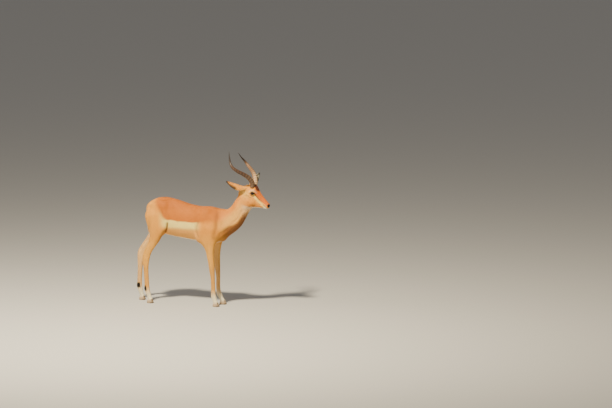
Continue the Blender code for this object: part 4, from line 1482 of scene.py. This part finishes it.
@dataclass
class Coat:
    """Tufts over the skin: flat closed spikes that lie along the body and hide their roots."""

    form: BodyForm
    tail: Tail
    markings: Markings
    lie: Lie
    piece_limit: int = 32500
    # how chance varies the tufts: least and most share of the size, and standard deviations
    length_spread: tuple = (0.75, 1.22)
    width_spread: tuple = (0.75, 1.30)
    lift_spread: tuple = (0.72, 1.16)
    turn_spread: float = 0.13
    shade_spread: float = 0.055
    hue_spread: float = 0.012
    most_shift: float = 0.006  # the furthest that settling moves a tuft's middle or tip
    lash_count: int = 36  # on each upper lid

    def bare(self, p: Array) -> Array:
        """Where no tuft grows: between the lids, on the lips, in the nostrils, on the nose pad."""
        s, n = self.form.head_frame(p)
        on_head = (p[:, 0] > 0.47) & (p[:, 2] > 0.86)
        a, b, out = self.form.eye_frame(p)
        eye = (np.hypot(a / 1.42, b) < 0.0128) & (out > -0.010)
        lips = path_distance(s, n, LIP_LINE)
        nose = (s > 0.224) & (n > 0.016)
        nostril = np.hypot(s - NOSTRIL[0], n - NOSTRIL[2]) < 0.009
        foot = p[:, 2] < 0.036
        return (on_head & (eye | (lips < 0.0022) | nose | nostril)) | foot

    def roots(self, surface: Surface, share: float) -> tuple[Array, Array]:
        """Roots and normals over the whole skin, dense on the head and thinner on the trunk."""
        middle = surface.points[surface.triangles].mean(axis=1)
        weight = self.form.zones(middle, 0.010)
        density = sum(weight[:, zone.value] * TUFTS[zone].density for zone in Zone) * share
        for ear in EARS.values():
            density = np.where(ear.owns(middle), EAR_TUFTS.density * share, density)
        density = np.where(self.tail.owns(middle), TAIL_TUFTS.density * share, density)
        place, normal = surface.scatter(density, np.random.default_rng(SEED))
        open_skin = ~self.bare(place)
        return place[open_skin], normal[open_skin]

    def sizes(self, p: Array, normal: Array) -> tuple[Array, Array, Array]:
        """Length, width and lift of the tuft at each root."""
        weight = self.form.zones(p, 0.012)
        length, width, lift = (
            sum(weight[:, zone.value] * getattr(TUFTS[zone], label) for zone in Zone)
            for label in ("length", "width", "lift")
        )
        s, _ = self.form.head_frame(p)
        on_head = weight[:, Zone.HEAD.value]
        length = length * (1 - 0.45 * on_head * ramp(s, 0.10, 0.20))
        lift = lift * (1 - 0.35 * on_head * ramp(s, 0.10, 0.20))
        foot = ramp(p[:, 2], 0.30, 0.12)
        length = length * (1 - 0.25 * foot)
        belly = ramp(normal[:, 2], -0.35, -0.8) * weight[:, Zone.TRUNK.value]
        length = length * (1 + 0.35 * belly)
        x = self.form.legs_straight(p)
        rear = smooth_column(p[:, 2], self.form.hindleg, 2)
        tuft = (x < rear + 0.016) * (x < -0.35) * bump(p[:, 2], 0.140, 0.020)
        length, lift = length + 0.014 * tuft, lift + 0.0075 * tuft
        for ear in EARS.values():
            mine = ear.owns(p)
            within = mine * ramp(normal @ ear.facing, 0.1, 0.4)
            length = np.where(mine, EAR_TUFTS.length + 0.0050 * within, length)
            lift = np.where(mine, EAR_TUFTS.lift + 0.0012 * within, lift)
            width = np.where(mine, EAR_TUFTS.width, width)
        mine = self.tail.owns(p)
        back = mine * ramp(p[:, 2], 0.84, 0.78)
        length = np.where(mine, TAIL_TUFTS.length + 0.026 * back, length)
        lift = np.where(mine, TAIL_TUFTS.lift + 0.0035 * back, lift)
        width = np.where(mine, TAIL_TUFTS.width, width)
        return length, width, lift

    def grow(self, place: Array, normal: Array) -> dict[str, Array]:
        """Works out root, middle and tip of every tuft, its colour and its normals.

        The root sits just under the skin. The middle and the tip are stepped along the lie and
        then moved along the normal until their height above the skin is the wanted lift.

        Args:
            place: roots on the skin.
            normal: outward directions there.

        Returns:
            Arrays by name, one row for each tuft.
        """
        rng = np.random.default_rng(SEED + 1)
        count = len(place)
        flow = self.lie.direction(place, normal)
        across = np.cross(normal, flow)
        turn = rng.normal(0, self.turn_spread, count)[:, None]
        flow = unit(flow + across * turn)
        across = np.cross(normal, flow)
        length, width, lift = self.sizes(place, normal)
        length = length * rng.uniform(*self.length_spread, count)
        width = width * rng.uniform(*self.width_spread, count)
        lift = lift * rng.uniform(*self.lift_spread, count)
        root = place - normal * 0.0005
        middle = place + flow * (length * 0.44)[:, None] + normal * (lift * 0.9)[:, None]
        tip = place + flow * length[:, None] + normal * lift[:, None]
        seated = ~self.tail.owns(place)
        for ear in EARS.values():
            seated &= ~ear.owns(place)
        for part, share in ((middle, 0.65), (tip, 1.0)):
            height = self.form.skin(part[seated])
            shift = np.clip(lift[seated] * share - height, -self.most_shift, self.most_shift)
            part[seated] += normal[seated] * shift[:, None]
        colour = self.markings.colour(place, normal)
        shade = 1 + rng.normal(0, self.shade_spread, (count, 1)) + rng.normal(0, self.hue_spread, (count, 3))
        return {
            "root": root,
            "middle": middle,
            "tip": tip,
            "across": across,
            "normal": normal,
            "width": width,
            "colour": np.clip(colour * shade, 0.0, 1.0),
        }

    def lashes(self) -> dict[str, Array]:
        """The upper lashes of both eyes: black tufts, rooted on the lid's rim and curved upwards."""
        form, count = self.form, self.lash_count
        rng = np.random.default_rng(SEED + 2)
        a = np.tile(np.linspace(-0.80, 0.72, count) * form.lid_reach, 2) + rng.normal(0, 0.0002, 2 * count)
        b = form.lid_heights[0] * (1 - (a / form.lid_reach) ** 2) + 0.0009
        out = np.sqrt((form.eye_radius + 0.0018) ** 2 - a * a - b * b)
        tilt = math.radians(form.lid_tilt)
        face = unit(np.array([form.head_direction]))[0]
        brow = np.array((-face[2], 0.0, face[0]))
        along = face * math.cos(tilt) - brow * math.sin(tilt)
        up = face * math.sin(tilt) + brow * math.cos(tilt)
        apart = np.repeat((1.0, -1.0), count)[:, None] * np.array((0.0, 1.0, 0.0))
        centre = np.array(form.eye_centre) * (1, 0, 1) + apart * form.eye_centre[1]
        offset = a[:, None] * along + b[:, None] * up + out[:, None] * apart
        away = unit(offset)
        fan = (0.35 * a / form.lid_reach)[:, None] * along + rng.normal(0, 0.06, (2 * count, 3))
        heading = unit(away + 0.45 * up + fan)
        length = rng.uniform(0.0065, 0.0090, 2 * count)[:, None]
        root = centre + offset - away * 0.0006
        across = unit(np.cross(np.broadcast_to(up, heading.shape), heading))
        return {
            "root": root,
            "middle": root + heading * length * 0.5 - up * 0.0004,
            "tip": root + heading * length + up * 0.0016,
            "across": across,
            "normal": unit(np.cross(heading, across)),
            "width": np.full(2 * count, 0.00055),
            "colour": filled(self.markings.black * 0.8, 2 * count),
        }

    def unwrap(self, p: Array, zone: Array) -> Array:
        """Places on an unwrap of the skin: along each limb's axis, and round it.

        Each zone has a strip of the unit square. In it, one coordinate is the share of the way along
        the zone's axis and the other is the angle around that axis, so the map belongs to the
        skin's shape and to no viewpoint.
        """
        spots = np.zeros((len(p), 2))
        ns, nn = self.form.neck_frame(p)
        hs, hn = self.form.head_frame(p)
        left = (p[:, 1] > 0).astype(float)
        fore_x = sum(smooth_columns(p[:, 2], self.form.foreleg, 1, 2)) / 2
        hind_x = sum(smooth_columns(p[:, 2], self.form.hindleg, 1, 2)) / 2
        straight = self.form.legs_straight(p)
        frames = {
            Zone.TRUNK: ((p[:, 0] + 0.52) / 0.80, p[:, 1], p[:, 2] - 0.74, 0.0, 1.0),
            Zone.NECK: ((ns + 0.20) / 0.50, p[:, 1], nn, 0.0, 1.0),
            Zone.HEAD: ((hs + 0.20) / 0.50, p[:, 1], hn - 0.01, 0.0, 1.0),
            Zone.FORE: (p[:, 2] / 0.75, p[:, 0] - fore_x, np.abs(p[:, 1]) - 0.079, left * 0.5, 0.5),
            Zone.HIND: (p[:, 2] / 0.90, straight - hind_x, np.abs(p[:, 1]) - 0.078, left * 0.5, 0.5),
        }
        for key, (along, u, v, start, width) in frames.items():
            mine = zone == key.value
            angle = np.arctan2(u, v) / (2 * np.pi) + 0.5
            spot = np.stack([0.004 + 0.99 * along, 0.004 + 0.99 * (start + angle * width)], axis=1)
            spots[mine] = spot[mine]
        return np.clip(spots, 0.003, 0.996)

    def piece(self, name: str, grown: dict[str, Array], chosen: Array, spots: Array) -> bpy.types.Object:
        """Makes one mesh of tufts.

        Each tuft is a closed spindle with a point at the root, a triangle across its middle, flat
        below and raised along the midline, and a point at the tip.

        Args:
            name: the piece's name.
            grown: the arrays from grow.
            chosen: which tufts belong to the piece.
            spots: each tuft's place on the unwrap.

        Returns:
            The joined mesh, with colours, normals and the map named OFBake.
        """
        part = {key: value[chosen] for key, value in grown.items()}
        count = len(chosen)
        side = part["across"] * (part["width"] / 2)[:, None]
        rise = part["normal"] * (part["width"] * 0.34)[:, None]
        middle = part["middle"]
        points = np.stack([part["root"], middle - side, middle + side, middle + rise, part["tip"]], axis=1)
        faces = np.array(((0, 2, 1), (1, 2, 4), (0, 3, 2), (0, 1, 3), (2, 3, 4), (3, 1, 4)))
        faces = (np.arange(count)[:, None, None] * 5 + faces).reshape(-1, 3)
        (faces,) = outward(points.reshape(-1, 3), faces)
        made = mesh_object(name, points.reshape(-1, 3), [faces])
        set_colours(made, np.repeat(part["colour"], 5, axis=0) * self.root_shade(count))
        lean = np.array((0.0, -0.55, 0.55, 0.0, 0.0))[None, :, None]
        normals = unit(part["normal"][:, None] + lean * part["across"][:, None]).reshape(-1, 3)
        made.data.normals_split_custom_set_from_vertices(normals)
        patch = np.array(((0, -1), (-1, 0), (1, 0), (0, 0), (0, 1))) * 0.0015
        corner = (spots[chosen][:, None] + patch).reshape(-1, 2)
        loops = np.empty(len(made.data.loops), np.int32)
        made.data.loops.foreach_get("vertex_index", loops)
        layer = made.data.uv_layers.new(name="OFBake")
        layer.data.foreach_set("uv", corner[loops].astype(np.float32).reshape(-1))
        return made

    @staticmethod
    def root_shade(count: int) -> Array:
        """A little darker at the root and lighter at the tip, for every tuft."""
        return np.tile(np.array((0.90, 0.98, 0.98, 1.0, 1.05))[:, None], (count, 1))

    def build(self, skin: bpy.types.Object, share: float) -> list[bpy.types.Object]:
        """Grows the whole coat.

        Args:
            skin: the finished skin.

        Returns:
            The coat's pieces.
        """
        place, normal = self.roots(Surface.of(skin), share)
        grown = self.grow(place, normal)
        lashes = self.lashes()
        place = np.concatenate([place, lashes["root"]])
        grown = {key: np.concatenate([value, lashes[key]]) for key, value in grown.items()}
        zone = self.form.zones(place, 0.006).argmax(axis=1)
        spots = self.unwrap(place, zone)
        pieces = []
        for key in Zone:
            mine = np.flatnonzero(zone == key.value)
            order = mine[np.argsort(spots[mine, 0], kind="stable")]
            parts = max(1, math.ceil(len(order) / self.piece_limit))
            for number, chosen in enumerate(np.array_split(order, parts), start=1):
                pieces.append(self.piece(f"coat_{key.name.lower()}_{number}", grown, chosen, spots))
            LOG.info("coat on %s: %d tufts in %d pieces", key.name, len(order), parts)
        return pieces


@dataclass
class Eye:
    """An eyeball with a raised cornea, a dark brown iris and a pupil that is wide and level."""

    form: BodyForm
    rings: int = 56
    sides: int = 72
    cornea: float = 0.035  # how far it rises, as a share of the eye's radius
    cornea_spread: float = 0.55  # in radians off the eye's own axis
    iris_edge: tuple = (0.0095, 0.0125)
    pupil_edge: tuple = (0.0042, 0.0034)
    pupil_stretch: float = 1.9
    iris, rim, pupil, back = tint(50, 27, 15), tint(16, 11, 9), tint(4, 4, 6), tint(6, 5, 5)

    def build(self, side: Side) -> bpy.types.Object:
        """Makes the eye of one side."""
        polar = np.linspace(0, np.pi, self.rings + 1)[1:-1][:, None]
        turn = full_turn(self.sides)[None, :]
        rise = self.cornea * np.exp(-((polar / self.cornea_spread) ** 2))
        radius = self.form.eye_radius * (1 + rise)
        out = radius * np.cos(polar) + 0 * turn
        along, up = radius * np.sin(polar) * np.cos(turn), radius * np.sin(polar) * np.sin(turn)
        points = np.stack([along, side.value * out, up], axis=2) + np.array(self.eye_place(side))
        points, quads, fans = tube(points)
        made = mesh_object(f"eye_ball_{side.name.lower()}", points, [quads, *fans])
        a, b = along.reshape(-1), up.reshape(-1)
        reach = np.hypot(a, b)
        colour = filled(self.iris, len(reach))
        colour = Markings.paint(colour, ramp(reach, *self.iris_edge), self.rim)
        reach = np.hypot(a / self.pupil_stretch, b)
        colour = Markings.paint(colour, ramp(reach, *self.pupil_edge), self.pupil)
        poles = filled(self.back, 2)
        poles[1 if out[-1, 0] > 0 else 0] = self.pupil
        set_colours(made, np.concatenate([colour, poles]))
        return made

    def eye_place(self, side: Side) -> tuple:
        """The centre of the eye of one side."""
        x, y, z = self.form.eye_centre
        return (x, side.value * y, z)


@dataclass
class Horn:
    """A lyre-shaped horn: round rings along a smooth route, ridged below and smooth at the tip."""

    route_left: tuple = (
        (0.503, 0.026, 1.056),
        (0.508, 0.033, 1.088),
        (0.492, 0.062, 1.130),
        (0.458, 0.108, 1.166),
        (0.415, 0.150, 1.196),
        (0.381, 0.170, 1.225),
        (0.358, 0.165, 1.258),
        (0.336, 0.132, 1.301),
        (0.319, 0.101, 1.346),
    )
    base: float = 0.0200
    tip: float = 0.0026
    lean: float = 0.0150
    taper: float = 1.7
    ridges: int = 13
    ridge_share: float = 0.66
    ridge_height: float = 0.0021
    stations: int = 330
    sides: int = 32

    def build(self, side: Side) -> bpy.types.Object:
        """Makes the horn of one side.

        The radius is base times (1 - t to the taper) plus tip, where t is the share of the length.
        Each ridge is a sharp-topped wave, strongest in front, that fades out towards the tip.
        """
        line = route(self.route_left, self.stations) * np.array((1.0, side.value, 1.0))
        line[:, 2] -= side.value * self.lean * np.linspace(0, 1, self.stations) ** 1.5
        heading = unit(np.gradient(line, axis=0))
        t = np.linspace(0, 1, self.stations)[:, None]
        angle = full_turn(self.sides)[None, :]
        front = np.array((1.0, 0.0, 0.25))
        u = unit(front - heading * (heading @ front)[:, None])
        v = np.cross(heading, u)
        wave = (t / self.ridge_share * self.ridges - 0.10 * np.cos(angle)) % 1.0
        crest = np.exp(-(((wave - 0.5) / 0.20) ** 2))
        strength = ramp(t, 0.0, 0.04) * ramp(t, self.ridge_share + 0.03, self.ridge_share - 0.16)
        height = self.ridge_height * (1 - 0.45 * t) * strength * (0.62 + 0.38 * np.cos(angle))
        radius = self.base * (1 - t**self.taper) + self.tip * (1 - 0.6 * t)
        radius = radius * (1 + 0.014 * np.sin(angle * 5 + 14 * t) + 0.010 * np.sin(angle * 9 - 21 * t))
        radius = radius + height * (crest - 0.35) - 0.0010 * strength
        radius[-1] *= 0.35
        outwards = np.cos(angle)[..., None] * u[:, None] + np.sin(angle)[..., None] * v[:, None]
        points, quads, fans = tube(line[:, None] + radius[..., None] * outwards)
        made = mesh_object(f"horn_shape_{side.name.lower()}", points, [quads, *fans])
        # painted light: the left horn is a lighter brown with a sunlit tan laid over its base, strongest in
        # front, and the right horn a darker brown, as in shade
        sunlit_tan, dark = tint(214, 176, 132), tint(44, 36, 32)
        brown = tint(140, 102, 70) if side is Side.LEFT else tint(86, 62, 48)
        low = ramp(t, 0.42, 0.22) * (0.55 + 0.45 * np.cos(angle)) * (0.95 if side is Side.LEFT else 0.15)
        colour = Markings.paint(filled(brown, t.size * self.sides), low.reshape(-1), sunlit_tan)
        high = (ramp(t, 0.52, 0.86) + 0 * angle).reshape(-1)
        colour = Markings.paint(colour, high, dark)
        groove = ((1 - crest) * strength * 0.42).reshape(-1)
        colour = Markings.paint(colour, groove, dark)
        set_colours(made, np.concatenate([colour, brown[None], dark[None]]))
        length = np.cumsum(np.linalg.norm(np.gradient(line, axis=0), axis=1))[:, None]
        spots = (np.cos(angle) * 0.018 + 0 * t, np.sin(angle) * 0.018 + 0 * t, length * 0.12 + 0 * angle)
        grain = np.stack(spots, axis=2)
        set_grain(made, np.concatenate([grain.reshape(-1, 3), np.zeros((2, 3))]))
        return made


@dataclass
class Claw:
    """One claw of a hoof: a flat sole drawn out to a point in front, with a low rounded heel."""

    node: str
    toe: float
    middle: float
    turn_side: int
    length: float = 0.062
    width: float = 0.0195
    height: float = 0.040
    splay: float = 4.0
    lean: float = 0.52  # how far the toe leans back, as a share of the height
    narrowing: float = 0.49  # how much shorter the top is than the sole
    heel_fall: float = 0.18  # how much lower the top is at the heel
    heel_round: float = 0.0055  # how far the heel's foot is tucked in
    levels: int = 26
    sides: int = 44

    def build(self) -> bpy.types.Object:
        """Makes the claw, with growth rings round its wall and rounded lower edges."""
        turn = math.radians(self.splay) * self.turn_side
        middle = self.middle + self.length * math.sin(turn)
        share = np.linspace(0, 1, self.levels)[:, None]
        level = share**1.25
        angle = full_turn(self.sides)[None, :]
        ring = 0.00022 * np.sin(level * 46 + 0.8 * np.cos(angle)) * ramp(level, 0.04, 0.15)
        tuck = 0.0010 * np.exp(-level * 26)
        heel = (1 - np.cos(angle)) / 2
        length = self.length * (1 - self.narrowing * level)
        width = self.width * (1 - 0.10 * level) * (1 - 0.06 * np.cos(np.pi * level))
        along = length * (np.cos(angle) - 1) / 2
        narrow = np.sqrt(np.clip(-along / length * 1.5, 0, 1)) * (0.55 + 0.45 * np.abs(np.sin(angle)))
        x = along - self.lean * self.height * level + (ring - tuck) * np.cos(angle)
        x = x + self.heel_round * heel**3 * np.exp(-((level / 0.16) ** 2))
        y = (width / 2 + ring - tuck) * np.sin(angle) * narrow
        x, y = turned(x, y, turn)
        place = np.stack(
            [
                x + self.toe,
                y + middle,
                self.height * level * (1 - self.heel_fall * heel),
            ],
            axis=2,
        )
        points, quads, fans = tube(place)
        made = mesh_object(self.node.replace("hoof", "claw"), points, [quads, *fans])
        wall, sole, top = tint(176, 152, 124), tint(58, 46, 38), tint(226, 206, 176)
        level_flat = (level + 0 * angle).reshape(-1)
        colour = Markings.paint(filled(wall, len(level_flat)), ramp(level_flat, 0.5, 1.0), top)
        front = ramp(np.cos(angle) + 0 * level, -0.2, 1.0).reshape(-1)
        worn = ramp(level_flat, 0.30 + 0.25 * front, 0.05) * (0.55 + 0.45 * front)
        colour = Markings.paint(colour, worn, sole)
        set_colours(made, np.concatenate([colour, sole[None], top[None]]))
        set_grain(made, points * np.array((0.25, 0.25, 1.0)))
        return made


def claws() -> list[Claw]:
    """All eight claws, named after the hoof nodes that they replace."""
    feet = (
        ("fore", Side.LEFT, 0.216, 0.080),
        ("fore", Side.RIGHT, 0.216, 0.080),
        ("hind", Side.LEFT, -0.405 + HIND_STEP[-1][1], 0.082),
        ("hind", Side.RIGHT, -0.405, 0.082),
    )
    made = []
    for label, side, toe, out in feet:
        for name, sign in (("outer", 1), ("inner", -1)):
            middle = side.value * (out + sign * 0.0108)
            node = f"hoof_{label}_{side.name.lower()}_{name}"
            made.append(Claw(node, toe, middle, sign * side.value))
    return made


@dataclass
class Studio:
    """A pale floor, a pale surround, soft lamps and the camera."""

    azimuth: float = 22.0
    elevation: float = 7.0
    centre: tuple = (0.922, 0.873)
    distance: float = 44.35
    floor_radius: float = 60.0
    floor_sides: int = 96
    surround: tuple = (1.0, 0.97, 0.93, 1)
    surround_strength: float = 0.23
    lamp_target: tuple = (0.05, 0, 0.7)

    def axes(self) -> tuple[Vector, Vector, Vector]:
        """The picture's rightward and upward directions, and the direction towards the camera."""
        a, e = math.radians(self.azimuth), math.radians(self.elevation)
        right = Vector((math.cos(a), math.sin(a), 0))
        up = Vector((-math.sin(a) * math.sin(e), math.cos(a) * math.sin(e), math.cos(e)))
        return right, up, right.cross(up)

    def floor(self) -> bpy.types.Object:
        """A wide pale disc at Z = 0, as a flat tube."""
        angle = full_turn(self.floor_sides)
        ring = np.stack([self.floor_radius * np.cos(angle), self.floor_radius * np.sin(angle)], axis=1)
        rings = np.stack([np.column_stack([ring, np.full(self.floor_sides, z)]) for z in (-0.05, 0.0)])
        points, quads, fans = tube(rings)
        made = mesh_object("floor", points, [quads, *fans], smooth=False)
        made.data.materials.append(plain_material("floor_pale", (0.60, 0.585, 0.56), 0.85))
        return made

    def lamp(self, name: str, place: tuple, size: float, power: float, colour: tuple) -> None:
        """A square lamp that faces the middle of the animal."""
        light = bpy.data.lights.new(name, "AREA")
        light.shape = "SQUARE"
        light.size = size
        light.energy = power
        light.color = colour
        made = bpy.data.objects.new(name, light)
        made.location = place
        made.rotation_euler = (Vector(self.lamp_target) - made.location).to_track_quat("-Z", "Y").to_euler()
        bpy.context.scene.collection.objects.link(made)

    def build(self) -> None:
        """Sets up floor, surround, lamps and camera."""
        self.floor()
        world = bpy.data.worlds.new("studio")
        world.use_nodes = True
        background = world.node_tree.nodes["Background"]
        set_inputs(background, {"Color": self.surround, "Strength": self.surround_strength})
        bpy.context.scene.world = world
        self.lamp("key", (0.12, -4.0, 5.5), 0.6, 1000.0, (1.0, 0.87, 0.62))
        self.lamp("fill", (-4.5, -2.0, 2.6), 3.0, 60.0, (1.0, 0.92, 0.80))
        right, up, back = self.axes()
        target = right * self.centre[0] + up * self.centre[1] + Vector((SHIFT, 0, 0))
        camera = bpy.data.objects.new("camera", bpy.data.cameras.new("camera"))
        camera.data.lens = 300.0
        camera.data.sensor_width = 36.0
        camera.data.clip_end = 200.0
        camera.location = target + back * self.distance
        camera.rotation_euler = back.to_track_quat("Z", "Y").to_euler()
        bpy.context.scene.collection.objects.link(camera)
        bpy.context.scene.camera = camera


class Impala:
    """The whole visual model: skin, coat, eyes, horns and claws, each tied to the root."""

    def __init__(self) -> None:
        """Sets up the form and its finishes."""
        self.form = BodyForm()
        self.tail = Tail()
        self.markings = Markings(self.form, self.tail)
        self.lie = Lie(self.form, self.tail)
        grain = streak_group()
        finishes = (SKIN_FINISH, COAT_FINISH, HORN_FINISH, HOOF_FINISH, EYE_FINISH)
        self.materials = {finish.name: finish.build(grain) for finish in finishes}

    def dress(self, made: bpy.types.Object, finish: Finish) -> None:
        """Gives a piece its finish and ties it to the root."""
        made.data.materials.append(self.materials[finish.name])
        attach(made, "root")
        LOG.info("%s: %d faces", made.name, len(made.data.polygons))

    def skin(self, coarser: float) -> bpy.types.Object:
        """The marked skin, in place of every flesh node."""
        made = Skin(self.form, self.tail).build(coarser)
        surface = Surface.of(made)
        set_colours(made, self.markings.colour(surface.points, surface.normals))
        flow = self.lie.direction(surface.points, surface.normals)
        along = (surface.points * flow).sum(axis=1, keepdims=True)
        set_grain(made, surface.points - flow * along * 0.86)
        self.dress(made, SKIN_FINISH)
        flesh = ("trunk", "neck", "head", "tail", "ear_left", "ear_right")
        legs = tuple(f"{end}leg_{side}" for end in ("fore", "hind") for side in ("left", "right"))
        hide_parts(*flesh, *legs)
        return made

    def build(self, quick: bool) -> None:
        skin = self.skin(1.6 if quick else 1.0)
        for side in Side:
            label = side.name.lower()
            eye = Eye(self.form).build(side)
            self.dress(eye, EYE_FINISH)
            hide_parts(f"eye_{label}")
            horn = Horn().build(side)
            self.dress(horn, HORN_FINISH)
            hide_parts(f"horn_{label}")
        for claw in claws():
            made = claw.build()
            self.dress(made, HOOF_FINISH)
            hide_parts(claw.node)
        coat = Coat(self.form, self.tail, self.markings, self.lie)
        for piece in coat.build(skin, 0.35 if quick else 1.0):
            self.dress(piece, COAT_FINISH)


def main() -> None:
    """Builds the visual model and the studio round it."""
    logging.basicConfig(level=logging.INFO, format="%(message)s")
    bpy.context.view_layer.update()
    Impala().build(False)
    Studio().build()


if __name__ == "__main__":
    main()
